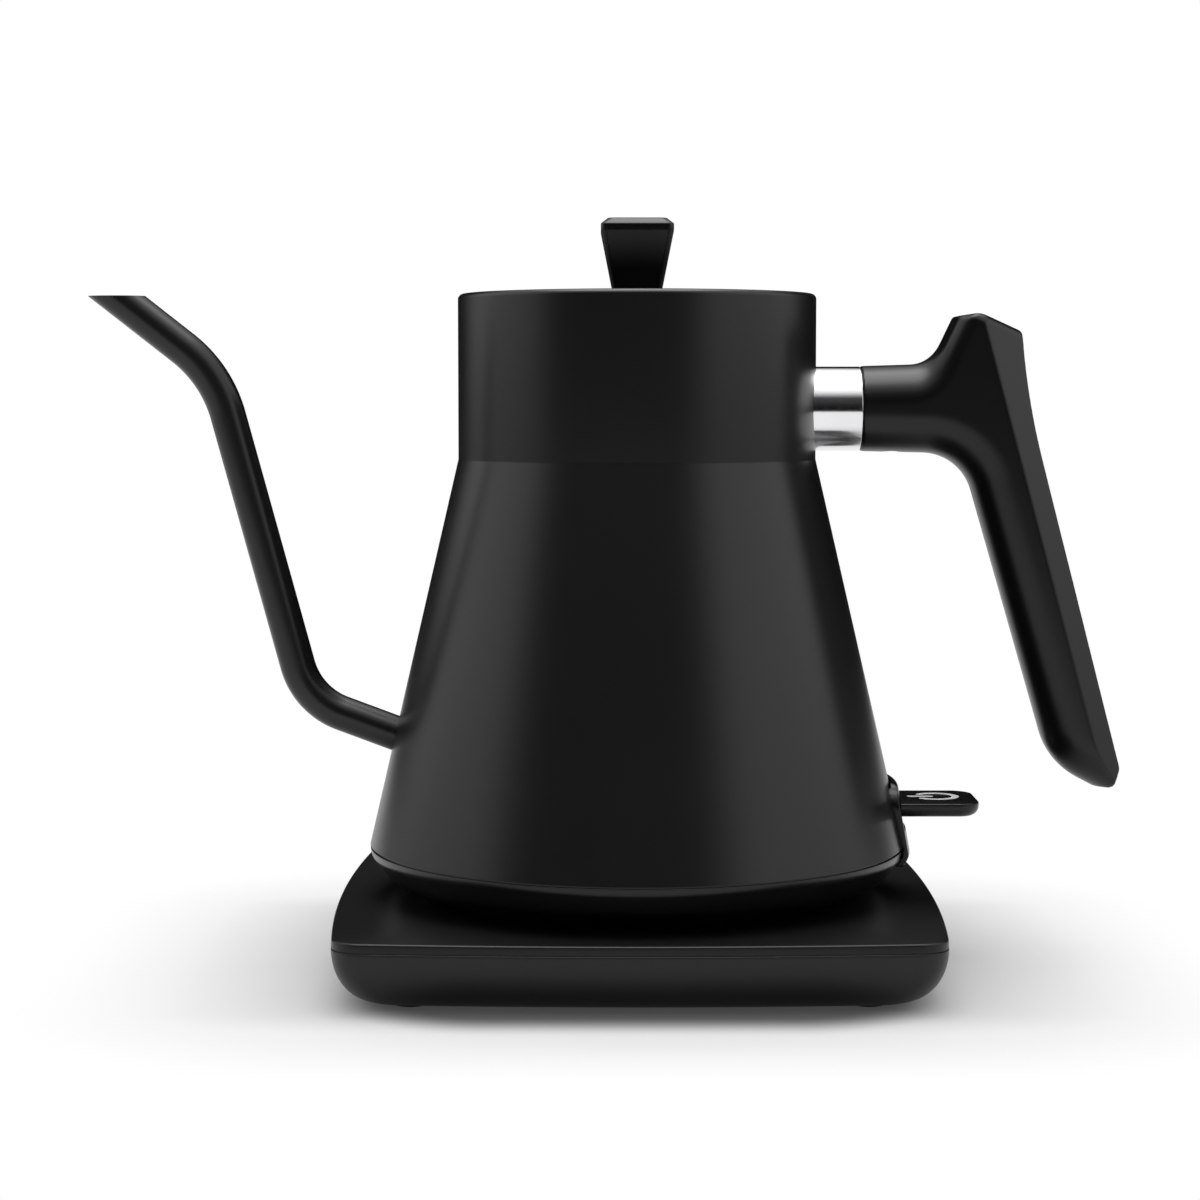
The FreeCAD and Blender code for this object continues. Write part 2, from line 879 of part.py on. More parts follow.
def spout_hole():
    """The round opening where the spout goes through the wall."""
    lower, root = spout_points()[2:]
    hole = doc.addObject("Part::Cylinder", "shell_spout_hole")
    bind(hole, Radius=dim.spout_radius, Height=(root - lower).Length)
    hole.Placement = Placement(lower, Rotation(Vector(0, 0, 1), root - lower))
    return hole


def spout_path(points, bends):
    """Straight runs joined by tangent bends."""
    edges = []
    start = points[0]
    for corner, after, bend in zip(points[1:], points[2:], bends):
        back = (start - corner).normalize()
        ahead = (after - corner).normalize()
        half = back.getAngle(ahead) / 2
        reach = bend / math.tan(half)
        middle = corner + (back + ahead).normalize() * (bend / math.sin(half))
        crown = middle + (corner - middle).normalize() * bend
        edges.append(Part.LineSegment(start, corner + back * reach).toShape())
        edges.append(Part.Arc(corner + back * reach, crown, corner + ahead * reach).toShape())
        start = corner + ahead * reach
    edges.append(Part.LineSegment(start, points[-1]).toShape())
    return Part.Wire(edges)


def build_spout(space):
    """The bent tube, its mouth cut level and its root cut to the inside of the wall."""
    points = spout_points()
    tip = (points[0] - points[1]).normalize()
    overrun = dim.spout_radius.value * 3
    points[0] = points[0] + tip * overrun
    path = spout_path(points, [dim.spout_upper_bend.value, dim.spout_lower_bend.value])
    tubes = []
    for radius in (dim.spout_radius.value, dim.spout_radius.value - dim.spout_wall.value):
        section = Part.Wire([Part.Circle(points[0], tip, radius).toShape()])
        tubes.append(path.makePipeShell([section], True, False))
    tube = doc.addObject("Part::Feature", "spout_tube")
    tube.Shape = tubes[0].cut(tubes[1])
    reach = dim.spout_radius * 8
    above = block(
        "spout_level_cut",
        (dim.spout_mouth_x - reach, -reach, dim.spout_mouth_z),
        (dim.spout_mouth_x + reach, reach, dim.spout_mouth_z + reach),
    )
    piece(cut("spout_cut", tube, above, space), "spout")


def cover_profile():
    wall = dim.cover_wall
    lip_top = dim.seam_height + dim.cover_lip
    lip_outside = wall_inside(lip_top) - dim.cover_lip_gap
    seat_inside = dim.seat_radius - dim.seat_width
    seat_low = dim.cover_bottom - dim.seat_drop
    return [
        (dim.seam_radius, dim.seam_height, dim.seam_round),
        (dim.cover_turn_radius, dim.cover_turn_height, dim.cover_turn_round),
        (dim.cover_heel_radius, dim.cover_heel_height, dim.cover_heel_round),
        (dim.seat_radius, dim.cover_bottom),
        (dim.seat_radius, seat_low),
        (seat_inside, seat_low),
        (seat_inside, dim.cover_bottom),
        (dim.cover_hole, dim.cover_bottom),
        (dim.cover_hole, dim.cover_bottom + wall),
        (dim.seat_radius, dim.cover_bottom + wall),
        (dim.cover_heel_radius - wall / 2, dim.cover_heel_height + wall, dim.cover_heel_round - wall),
        (dim.cover_turn_radius - wall, dim.cover_turn_height + wall / 2),
        (dim.cover_turn_radius - wall, dim.seam_height),
        (lip_outside - dim.cover_lip_wall, lip_top),
        (lip_outside, lip_top),
        (lip_outside, dim.seam_height),
    ]


def build_bottom_cover(space):
    """The dish that closes the body, screwed up into three brackets on the wall."""
    post_low = dim.cover_bottom + dim.cover_wall / 2
    screw_low = dim.cover_bottom + dim.head_inset
    bracket_top = dim.bracket_height + dim.bracket_thickness
    posts, holes, brackets, screws = [], [], [], []
    for degrees in COVER_SCREW_ANGLES:
        x, y = around(dim.cover_screw_circle, degrees)
        posts.append(screw_post(f"cover_post_{degrees}", post_low, dim.bracket_height, x, y))
        holes += screw_holes(f"cover_hole_{degrees}", dim.cover_bottom, x, y)
        tab = block(
            f"bracket_tab_{degrees}",
            (dim.cover_screw_circle - dim.bracket_half, -dim.bracket_half, dim.bracket_height),
            (dim.seam_radius, dim.bracket_half, bracket_top),
        )
        thread = rod(f"bracket_thread_{degrees}", dim.screw_radius, dim.rim_height, dim.cover_screw_circle)
        bracket = cut(f"bracket_{degrees}", shared(f"bracket_fit_{degrees}", tab, space), thread)
        bracket.Placement = Placement(Vector(), about_z(degrees))
        brackets.append(bracket)
        screw_high = bracket_top + dim.thread_depth
        screws.append(screw(f"cover_screw_{degrees}", screw_low, screw_high, x, y, dim.screw_radius))
    dish = turned("cover_dish", cover_profile())
    piece(cut("cover", fused("cover_solid", dish, *posts), *holes), "bottom_cover")
    piece(grouped("bracket_set", *brackets), "cover_brackets")
    piece(grouped("cover_screw_set", *screws), "cover_screws")


# Handle


def handle_outline():
    """The handle seen from the side: arm, raised thumb rest, sloping grip."""
    return [
        (dim.arm_start, arm_under),
        (dim.arm_start, arm_top),
        (dim.arm_end, arm_top + dim.arm_flare, dim.arm_end_round),
        (dim.thumb_front_x, dim.thumb_front_z),
        (dim.thumb_crown_x, dim.thumb_crown_z, dim.thumb_crown_round),
        (dim.thumb_back_x, dim.thumb_back_z, dim.back_corner_round),
        (dim.back_bend_x, dim.back_bend_z, dim.back_bend_round),
        (dim.heel_x, dim.heel_z, dim.back_corner_round),
        (dim.toe_back_x, dim.toe_z, dim.back_corner_round),
        (dim.toe_front_x, dim.toe_z),
        (dim.grip_low_x, dim.grip_low_z, dim.grip_low_round),
        (dim.grip_high_x, arm_under - dim.arm_flare, dim.grip_high_round),
    ]


def on_inner_side(edge):
    """Whether an edge is on the arm, the thumb rest's front or the inside of the grip."""
    middle = edge.valueAt((edge.FirstParameter + edge.LastParameter) / 2)
    slope = (dim.heel_x.value - dim.back_bend_x.value) / (dim.back_bend_z.value - dim.heel_z.value)
    back_x = dim.heel_x.value - (middle.z - dim.heel_z.value) * slope
    on_arm = middle.x < dim.thumb_front_x.value and not near(edge.BoundBox.XLength, 0)
    on_grip = middle.z < arm_under.value and middle.x < back_x - dim.grip_core.value
    return near(edge.BoundBox.YLength, 0) and (on_arm or on_grip)


def inner_round(edge):
    """Radii at the two ends of an inner edge, smaller up at the thumb rest."""
    ends = [edge.valueAt(spot) for spot in (edge.FirstParameter, edge.LastParameter)]
    flare_top = arm_top + dim.arm_flare
    return [dim.thumb_round.value if end.z > flare_top.value else dim.handle_round.value for end in ends]


def bevel_cutter(name, side, spot, along, slant, reach):
    """A block on one side whose lower face holds a spot and two directions."""
    along = along.normalize() * math.copysign(1, along.x)
    outward = along.cross(slant).normalize()
    if outward.y * side < 0:
        outward = outward * -1
    across = outward.cross(along)
    corner = spot - (along + across) * (reach.value / 4)
    cutter = doc.addObject("Part::Box", name)
    bind(cutter, Length=reach, Width=reach / 2, Height=reach / 4)
    cutter.Placement = Placement(corner, Rotation(along, across, outward, "ZXY"))
    return cutter


def facet_lines(side):
    """A spot on the bevel between the handle's side and its back, and two directions in it."""
    top = Vector(dim.facet_top_x.value, side * dim.handle_half.value, dim.facet_top_z.value)
    low = Vector(dim.facet_low_x.value, side * dim.handle_half.value, dim.facet_low_z.value)
    slant = Vector(dim.facet_run.value, -side * dim.facet_rise.value, 0)
    return top, low - top, slant


def thumb_edge_runs(side):
    """The three runs of the thumb rest's top edge: a spot and the normals of the two faces."""
    half = side * dim.handle_half.value
    front = Vector(dim.thumb_front_x.value, half, dim.thumb_front_z.value)
    crown = Vector(dim.thumb_crown_x.value, half, dim.thumb_crown_z.value)
    fall = Vector(dim.thumb_back_x.value, half, dim.thumb_back_z.value) - crown
    arm_corner = Vector(dim.arm_end.value, half, arm_top.value)
    sideways = Vector(0, side, 0)
    front_normal, rise_normal, fall_normal = [
        (run.cross(sideways) * side).normalize() for run in (front - arm_corner, crown - front, fall)
    ]
    spot, along, slant = facet_lines(side)
    facet_normal = along.cross(slant).normalize()
    facet_normal = facet_normal * math.copysign(1, facet_normal.y * side)
    facet_start = crown + fall * ((spot - crown).dot(facet_normal) / fall.dot(facet_normal))
    corner = dim.thumb_round.value * (1 - math.sqrt(0.5))
    yield front + Vector(corner, -side * corner, 0), rise_normal, (front_normal + sideways).normalize()
    yield crown, fall_normal, sideways
    yield facet_start, fall_normal, facet_normal


def thumb_edge_cutters(name, side):
    """For the round along the thumb rest's top edge, laid out as slopes that touch it."""
    radius = dim.thumb_edge_round.value
    cutters = []
    for run, (spot, above, beside) in enumerate(thumb_edge_runs(side)):
        middle = spot - (above + beside) * (radius / (1 + above.dot(beside)))
        along = above.cross(beside)
        for step in range(1, THUMB_EDGE_SLOPES + 1):
            share = step / (THUMB_EDGE_SLOPES + 1)
            normal = (above * (1 - share) + beside * share).normalize()
            touch = middle + normal * radius
            slope = f"{name}_{run}_{step}"
            cutters.append(
                bevel_cutter(slope, side, touch, along, normal.cross(along), dim.thumb_edge_reach)
            )
    return cutters


def build_handle():
    """The grip on its stud, with the steel collar between it and the body."""
    half = dim.handle_half
    pad = new_body("grip_body")
    sketch = new_sketch(pad, "grip_outline", "XZ_Plane", -half)
    draw(sketch, handle_outline())
    raised(pad, sketch, "grip_pad", half * 2)
    grip = eased("grip_round", pad, on_inner_side, inner_round)
    bore_long = dim.stud_end - dim.arm_start
    bore = rod("grip_bore", dim.stud_radius, bore_long, dim.arm_start, 0, dim.arm_height, "X")
    hole_low = arm_under - dim.set_screw_radius
    hole_long = dim.arm_height - hole_low
    screw_hole = rod("grip_screw_hole", dim.set_screw_radius, hole_long, dim.set_screw_x, 0, hole_low)
    cutters = []
    for side, where in ((-1, "near"), (1, "far")):
        cutters.append(bevel_cutter("grip_facet_" + where, side, *facet_lines(side), dim.facet_reach))
        cutters += thumb_edge_cutters("thumb_edge_" + where, side)
    piece(cut("grip", grip, bore, screw_hole, *cutters), "handle_grip")

    wall = rod("handle_wall_shape", dim.top_radius, dim.rim_height)
    start = dim.top_radius - dim.stud_radius
    stud_long = dim.stud_end - dim.stud_gap - start
    stud = rod("stud_rod", dim.stud_radius, stud_long, start, 0, dim.arm_height, "X")
    piece(cut("stud", stud, wall), "handle_stud")
    sleeve = rod("collar_rod", dim.collar_radius, dim.arm_start - start, start, 0, dim.arm_height, "X")
    stud_hole = rod("collar_bore", dim.stud_radius, dim.arm_start, start, 0, dim.arm_height, "X")
    piece(cut("collar", sleeve, wall, stud_hole), "handle_collar")
    set_low = arm_under + dim.set_screw_sink
    set_long = dim.arm_height - dim.stud_radius - set_low
    piece(rod("set_screw", dim.set_screw_radius, set_long, dim.set_screw_x, 0, set_low), "handle_set_screw")


# Heater and control


def build_heater():
    """The vessel's floor, the plate and element under it, and the steam tube."""
    thick = dim.sheet_thickness
    under = dim.floor_height - thick
    edge = wall_inside(dim.floor_height) - dim.weld_gap
    flange_low = dim.floor_height - dim.floor_flange
    flange_edge = wall_inside(flange_low) - dim.weld_gap
    plate = turned(
        "floor_plate",
        [
            (0, under),
            (0, dim.floor_height),
            (edge, dim.floor_height, dim.floor_round),
            (flange_edge, flange_low),
            (flange_edge - thick, flange_low),
            (edge - thick, under),
        ],
    )
    steam_hole = rod("steam_hole", dim.steam_tube_radius, dim.rim_height, dim.steam_tube_x)
    piece(cut("floor_plate_cut", plate, steam_hole), "element_plate")

    spreader_low = under - dim.spreader_thickness
    disc = rod("spreader_disc", dim.spreader_radius, dim.spreader_thickness, z=spreader_low)
    threads = []
    for degrees in CONTROL_SCREW_ANGLES:
        x, y = around(dim.control_post_circle, degrees)
        name = f"spreader_thread_{degrees}"
        threads.append(rod(name, dim.screw_radius, dim.thread_depth, x, y, spreader_low))
    piece(cut("spreader", disc, steam_hole, *threads), "heat_spreader")

    element = doc.addObject("Part::Torus", "element")
    bind(element, Radius1=dim.element_circle, Radius2=dim.element_radius, Angle3=dim.element_sweep)
    gap = (360 - dim.element_sweep.value) / 2
    place(element, z=spreader_low - dim.element_radius, rotation=about_z(gap))
    piece(element, "heating_element")
    clear = math.degrees((dim.terminal_radius + dim.terminal_gap).value / dim.element_circle.value)
    pins = []
    for degrees in (gap - clear, clear - gap):
        x, y = around(dim.element_circle, degrees)
        long = spreader_low - dim.terminal_low
        pins.append(rod(f"terminal_{len(pins)}", dim.terminal_radius, long, x, y, dim.terminal_low))
    piece(grouped("terminals", *pins), "element_terminals")

    bore = dim.steam_tube_radius - dim.steam_tube_wall
    tube = ring("steam_pipe", bore, dim.steam_tube_radius, dim.steam_tube_low, dim.steam_tube_high)
    place(tube, dim.steam_tube_x)
    piece(tube, "steam_tube")
    return spreader_low


def domed_disc(name, x, y, z):
    """A thin snap-action disc, flat in the middle and sloping to its edge."""
    edge = dim.disc_radius
    flat = edge / 2
    rise = dim.disc_rise
    thick = dim.disc_thickness
    upper = [(0, rise + thick), (flat, rise + thick), (edge, thick)]
    lower = [(edge, 0), (flat, rise), (0, rise)]
    disc = turned(name, upper + lower)
    place(disc, x, y, z)
    return disc


def build_control(spreader_low):
    """The control under the heater: its case, snap discs and switch blades."""
    low = dim.control_low
    disc = rod("control_disc", dim.control_radius, dim.control_high - low, z=low)
    arm_half = dim.control_arm_half
    arm = block(
        "control_arm",
        (dim.control_radius - arm_half, -arm_half, dim.control_arm_low),
        (dim.steam_tube_x + arm_half, arm_half, dim.control_high),
    )
    solids, holes, screws, discs = [disc, arm], [], [], []
    screw_low = low + dim.head_inset
    screw_high = spreader_low + dim.thread_depth - dim.tip_gap
    for degrees in CONTROL_SCREW_ANGLES:
        x, y = around(dim.control_post_circle, degrees)
        post_long = spreader_low - low
        solids.append(rod(f"control_post_{degrees}", dim.control_post_radius, post_long, x, y, low))
        holes += screw_holes(f"control_hole_{degrees}", low, x, y)
        screws.append(screw(f"control_screw_{degrees}", screw_low, screw_high, x, y, dim.screw_radius))
    cup_top = spreader_low - dim.disc_room
    cup_radius = dim.disc_radius - dim.disc_thickness
    for degrees in BOIL_DISC_ANGLES:
        x, y = around(dim.disc_offset, degrees)
        solids.append(rod(f"control_cup_{degrees}", cup_radius, cup_top - low, x, y, low))
        discs.append(domed_disc(f"boil_disc_{degrees}", x, y, cup_top))
    piece(cut("control", fused("control_solid", *solids), *holes), "control_unit")
    piece(grouped("control_screw_set", *screws), "control_screws")
    piece(grouped("boil_disc_set", *discs), "dry_boil_discs")
    piece(domed_disc("steam_disc", dim.steam_tube_x, 0, dim.control_high), "steam_bimetal")
    blades = []
    for number, side in enumerate((-1, 1)):
        middle = side * dim.blade_offset
        strip = block(
            f"blade_strip_{number}",
            (dim.control_radius - dim.blade_offset, middle - dim.blade_half, dim.blade_low),
            (dim.blade_end, middle + dim.blade_half, dim.blade_low + dim.blade_thickness),
        )
        blades.append(cut(f"blade_{number}", strip, disc))
    piece(grouped("blade_set", *blades), "contact_blades")


# Switch


def bezel_profile():
    """Section of the curved switch frame: outside face, then the face over the wall."""
    shell_top = wall_inside(dim.bezel_high) + dim.shell_wall + dim.bezel_gap
    return [
        (shell_top, dim.bezel_high),
        (shell_top + dim.bezel_rise, dim.bezel_high, dim.bezel_top_round),
        (dim.bezel_mid_radius, dim.bezel_mid_height, dim.bezel_mid_round),
        (dim.bezel_low_radius, dim.bezel_low, dim.bezel_low_round),
        (dim.bezel_back_radius, dim.bezel_low),
        (dim.cover_turn_radius + dim.bezel_gap, dim.cover_turn_height),
        (dim.seam_radius + dim.bezel_gap, dim.seam_height),
    ]


def build_switch():
    """The frame on the body's side, with two ears that carry the lever's pin."""
    frame = turned("bezel_frame", bezel_profile(), dim.bezel_span)
    place(frame, rotation=about_z(-dim.bezel_span.value / 2))
    front_low = dim.bezel_low - dim.bezel_gap
    front_high = dim.bezel_high + dim.bezel_gap
    front = padded(
        "bezel_front",
        [
            (-dim.bezel_half, front_low),
            (dim.bezel_half, front_low),
            (dim.bezel_half, front_high, dim.bezel_arch),
            (-dim.bezel_half, front_high, dim.bezel_arch),
        ],
        dim.pivot_x,
        dim.lever_tip,
        "YZ_Plane",
    )
    far = dim.ear_inside + dim.ear_thickness
    ear_start = dim.pivot_x - dim.ear_half
    ear_end = dim.bezel_low_radius - dim.ear_thickness * 2
    ear_high = dim.pivot_z + dim.ear_half
    window_low = dim.pivot_z - dim.window_below
    window_half = dim.lever_half + dim.bezel_gap
    window = block(
        "bezel_window",
        (dim.pivot_x, -window_half, window_low),
        (dim.lever_tip, window_half, ear_high),
    )
    solids = [cut("bezel_plate", shared("bezel_curve", frame, front), window)]
    root_low = window_low - dim.ear_root
    root_end = dim.bezel_low_radius - dim.ear_thickness / 2
    for number, (near_side, far_side) in enumerate(((-far, -dim.ear_inside), (dim.ear_inside, far))):
        ear = f"bezel_ear_{number}"
        low = (ear_start, near_side, root_low)
        solids.append(block(ear, low, (ear_end, far_side, ear_high)))
        solids.append(block(ear + "_root", low, (root_end, far_side, window_low)))
    pin_hole = rod("bezel_pin_hole", dim.pin_radius, far * 2, dim.pivot_x, -far, dim.pivot_z, "Y")
    piece(cut("bezel", fused("bezel_solid", *solids), pin_hole), "switch_housing")
    piece(rod("pivot", dim.pin_radius, far * 2, dim.pivot_x, -far, dim.pivot_z, "Y"), "lever_pin")


def build_lever():
    """The switch lever: a tab outside the frame on a neck that turns about the pin."""
    low = dim.lever_top - dim.lever_thickness
    tab = padded(
        "lever_tab",
        [
            (dim.lever_start, -dim.lever_half),
            (dim.lever_tip, -dim.lever_half, dim.lever_corner),
            (dim.lever_tip, dim.lever_half, dim.lever_corner),
            (dim.lever_start, dim.lever_half),
        ],
        low,
        dim.lever_top,
    )

    def on_rim(height):
        def wanted(edge):
            box = edge.BoundBox
            level = near(box.ZMin, height) and near(box.ZMax, height)
            return level and not near(box.XMax, dim.lever_start.value)

        return wanted

    soften(tab, "lever_under_edge", dim.lever_under_round, on_rim(low.value))
    soften(tab, "lever_top_edge", dim.lever_top_round, on_rim(dim.lever_top.value))
    half = dim.neck_half
    neck = block(
        "lever_neck",
        (dim.pivot_x - dim.lever_tail, -half, low),
        (dim.lever_start + dim.lever_lap, half, dim.lever_top),
    )
    barrel = rod("lever_barrel", dim.barrel_radius, half * 2, dim.pivot_x, -half, dim.pivot_z, "Y")
    bore_radius = dim.pin_radius + dim.pin_clearance
    bore = rod("lever_bore", bore_radius, half * 4, dim.pivot_x, -half * 2, dim.pivot_z, "Y")
    piece(cut("lever", fused("lever_solid", tab, neck, barrel), bore), "switch_lever")


def build_trip_spring():
    """A strip curled into a C, lying across the two blades behind the lever."""
    outside = dim.spring_curl + dim.spring_thickness
    half = dim.spring_half
    profile = [(dim.spring_curl, -half), (outside, -half), (outside, half), (dim.spring_curl, half)]
    strip = turned("spring_strip", profile, dim.spring_sweep)
    upright = Rotation(Vector(1, 0, 0), 90) * about_z(-dim.spring_sweep.value / 2)
    blade_top = dim.blade_low + dim.blade_thickness
    place(strip, dim.spring_x, 0, blade_top + outside, upright)
    piece(strip, "trip_spring")


# Lid


def build_lid():
    """The flush lid with its plug, seal, knob and the screw that joins them."""
    top = ledge + dim.lid_thickness
    disc = turned(
        "lid_disc",
        [(0, ledge), (dim.lid_radius, ledge), (dim.lid_radius, top, dim.lid_round), (0, top)],
    )
    screw_hole = rod("lid_screw_hole", dim.knob_screw_radius, dim.knob_top)
    piece(cut("lid_disc_cut", disc, screw_hole), "lid_cover")
    low = ledge - dim.plug_depth
    inside = dim.plug_radius - dim.sheet_thickness
    cup = [
        (0, low),
        (dim.plug_radius, low, dim.plug_round),
        (dim.plug_radius, ledge),
        (inside, ledge),
        (inside, low + dim.sheet_thickness),
        (0, low + dim.sheet_thickness),
    ]
    piece(turned("plug_cup", cup), "lid_plug")
    groove = dim.seal_radius - dim.seal_groove
    edges = (dim.plug_radius, dim.seal_radius, groove, dim.seal_radius, dim.plug_radius)
    seal_low = low + dim.seal_rise
    lips = [(edge, seal_low + dim.seal_step * step) for step, edge in enumerate(edges)]
    piece(turned("seal_lips", lips), "lid_seal")
    knob = new_body("knob_block")
    sections = []
    heights = (
        (top, dim.knob_base_half),
        (dim.knob_shoulder, dim.knob_half),
        (dim.knob_band, dim.knob_half),
        (dim.knob_top, dim.knob_top_half),
    )
    for number, (height, half) in enumerate(heights):
        sketch = new_sketch(knob, f"knob_section_{number}", "XY_Plane", height)
        draw(sketch, [(x, y, dim.knob_corner) for x, y in four_spots(half, half)])
        sections.append(sketch)
    lofted(knob, "knob_loft", sections, ruled=True)
    tip = top + dim.knob_screw_reach
    bore = rod("knob_bore", dim.knob_screw_radius, tip + dim.tip_gap)
    piece(cut("knob", knob, bore), "lid_knob")
    piece(screw("knob_screw_solid", ledge - dim.head_height, tip, 0, 0, dim.knob_screw_radius), "knob_screw")


def check_document():
    """Stops before anything is written if an object failed or a shape is bad."""
    for thing in doc.Objects:
        if {"Invalid", "Error"} & set(thing.State):
            raise RuntimeError(f"{thing.Name} did not build: {thing.State}")
    for thing in pieces:
        if thing.Shape.isNull() or not thing.Shape.isValid():
            raise RuntimeError(f"{thing.Label} has no valid shape")


def write_pieces():
    os.makedirs("parts", exist_ok=True)
    for thing in pieces:
        thing.Shape.exportStep(os.path.join("parts", thing.Label + ".step"))
        print(f"{thing.Label}: {len(thing.Shape.Solids)} solids, {thing.Shape.Volume:.1f} mm3")


build_base_housing()
build_base_top_plate()
build_base_fittings()
build_base_connector()
build_kettle_connector()
build_body_shell()
inside_cone = cone_space()
build_spout(inside_cone)
build_bottom_cover(inside_cone)
build_handle()
build_control(build_heater())
build_switch()
build_lever()
build_trip_spring()
build_lid()
doc.recompute()
check_document()
write_pieces()
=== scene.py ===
import json
import math
from contextlib import contextmanager

import bmesh
import bpy
from bpy.props import FloatProperty, FloatVectorProperty, IntProperty, PointerProperty
from bpy.types import Operator, Panel, PropertyGroup
from mathutils import Matrix, Vector


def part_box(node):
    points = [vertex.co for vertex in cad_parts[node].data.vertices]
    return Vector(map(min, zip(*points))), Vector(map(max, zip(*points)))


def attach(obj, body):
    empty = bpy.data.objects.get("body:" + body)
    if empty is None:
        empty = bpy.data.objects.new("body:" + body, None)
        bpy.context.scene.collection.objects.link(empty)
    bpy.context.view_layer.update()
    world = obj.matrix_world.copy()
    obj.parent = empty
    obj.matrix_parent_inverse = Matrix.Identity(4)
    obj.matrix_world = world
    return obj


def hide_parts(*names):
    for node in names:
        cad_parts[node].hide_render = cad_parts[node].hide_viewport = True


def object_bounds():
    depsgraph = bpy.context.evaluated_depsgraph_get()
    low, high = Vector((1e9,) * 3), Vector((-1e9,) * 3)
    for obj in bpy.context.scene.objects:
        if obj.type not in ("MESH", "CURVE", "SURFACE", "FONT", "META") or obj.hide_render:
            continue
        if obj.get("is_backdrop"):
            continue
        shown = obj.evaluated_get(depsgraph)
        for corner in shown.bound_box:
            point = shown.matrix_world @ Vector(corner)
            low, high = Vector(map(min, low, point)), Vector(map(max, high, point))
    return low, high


bl_info = {
    "name": "Gooseneck kettle",
    "version": (1, 0, 0),
    "blender": (4, 5, 0),
    "location": "View3D > Sidebar > Kettle",
    "description": "Dresses a gooseneck electric kettle and its power base",
    "category": "Add Mesh",
}

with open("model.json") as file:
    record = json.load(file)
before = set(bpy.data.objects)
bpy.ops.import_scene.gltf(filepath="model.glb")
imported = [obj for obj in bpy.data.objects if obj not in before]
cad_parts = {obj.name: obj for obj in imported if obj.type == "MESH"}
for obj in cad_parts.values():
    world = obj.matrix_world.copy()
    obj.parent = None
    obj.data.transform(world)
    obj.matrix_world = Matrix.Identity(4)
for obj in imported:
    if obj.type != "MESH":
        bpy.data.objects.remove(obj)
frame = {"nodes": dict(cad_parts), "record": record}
cad_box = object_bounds()
MM = 0.001
# Points nearer than this are one point
WELD = 0.002 * MM
# Edges shorter than this are dissolved
SLIVER = 0.0001 * MM
# An edge is level when its ends differ in height by less than this
LEVEL = 0.01 * MM
# A face of the body points into the vessel when its normal leans inwards by more than this
FACES_IN = -0.9
# Angles in degrees above which an edge is drawn sharp
SHARP_TURNED = 30
SHARP_BEVELLED = 40
SHARP_MOULDED = 60
# The spout's tube is drawn this many radii past its mouth before the mouth is cut
OVERRUN = 3
# Radius of the holes over the screws
SINK_RADIUS = 3 * MM
# Steps that round forms are drawn in
EDGE_STEPS = 3
FOOT_STEPS = 4
BROAD_STEPS = 5
KNOB_STEPS = 6
ROUND_STEPS = 8
TAB_STEPS = 10
CORNER_STEPS = 12
SIDE_STEPS = 24
BEND_STEPS = 28
SINK_STEPS = 32
SIGN_STEPS = 48
ROD_STEPS = 64


# Sizes and colours that can be changed


def mm(title, about, size):
    """A length property, given in millimetres."""
    return FloatProperty(name=title, description=about, default=size * MM, unit="LENGTH", precision=5)


def place(title, about, sizes):
    """A point in the frame, given in millimetres."""
    spot = [size * MM for size in sizes]
    kind = {"subtype": "TRANSLATION", "unit": "LENGTH", "precision": 5}
    return FloatVectorProperty(name=title, description=about, default=spot, **kind)


def slant(title, about, degrees):
    """An angle property, given in degrees."""
    return FloatProperty(name=title, description=about, default=math.radians(degrees), subtype="ANGLE")


def whole(title, about, number):
    """A whole number property."""
    return IntProperty(name=title, description=about, default=number, min=0, subtype="UNSIGNED")


def tint(title, about, *colour):
    """A linear colour property."""
    kind = {"subtype": "COLOR", "min": 0, "max": 1}
    return FloatVectorProperty(name=title, description=about, default=colour, **kind)


class BodySizes(PropertyGroup):
    top_radius: mm("Top radius", "Radius of the cylinder", 47.5)
    seam_radius: mm("Seam radius", "Radius of the cone's lower end", 71.4)
    rim: mm("Rim", "Height of the rim", 177.8)
    shoulder: mm("Shoulder", "Height where cylinder and cone meet", 134.2)
    seam: mm("Seam", "Height of the seam above the cover", 31.6)
    wall: mm("Wall", "Thickness of the steel", 0.8)
    rim_width: mm("Rim width", "Width of the hemmed rim", 1.9)
    ledge: mm("Ledge", "Height of the ledge for the lid", 175.4)
    mouth: mm("Mouth", "Radius of the filling hole", 42.0)
    lip: mm("Lip", "Depth of the filling hole's lip", 3.0)
    shoulder_round: mm("Shoulder round", "Round of the shoulder", 2.0)
    rim_round: mm("Rim round", "Round of the rim's outer edge", 1.4)
    rim_edge: mm("Rim edge", "Round of the rim's inner edge", 0.3)
    lip_round: mm("Lip round", "Round of the filling hole's edge", 0.4)
    segments: whole("Segments", "Steps round the turned pieces", 192)


class SpoutSizes(PropertyGroup):
    mouth: place("Mouth", "Middle of the mouth", (-138.2, 0, 177.4))
    upper: place("Upper corner", "Where the runs of the upper bend meet", (-111.8, 0, 156.65))
    lower: place("Lower corner", "Where the runs of the lower bend meet", (-88.3, 0, 69.4))
    root: place("Root", "End of the tube inside the body", (-55.0, 0, 56.96))
    upper_bend: mm("Upper bend", "Radius of the upper bend", 34.0)
    lower_bend: mm("Lower bend", "Radius of the lower bend", 19.3)
    radius: mm("Radius", "Outer radius of the tube", 4.7)
    wall: mm("Wall", "Thickness of the tube", 0.7)


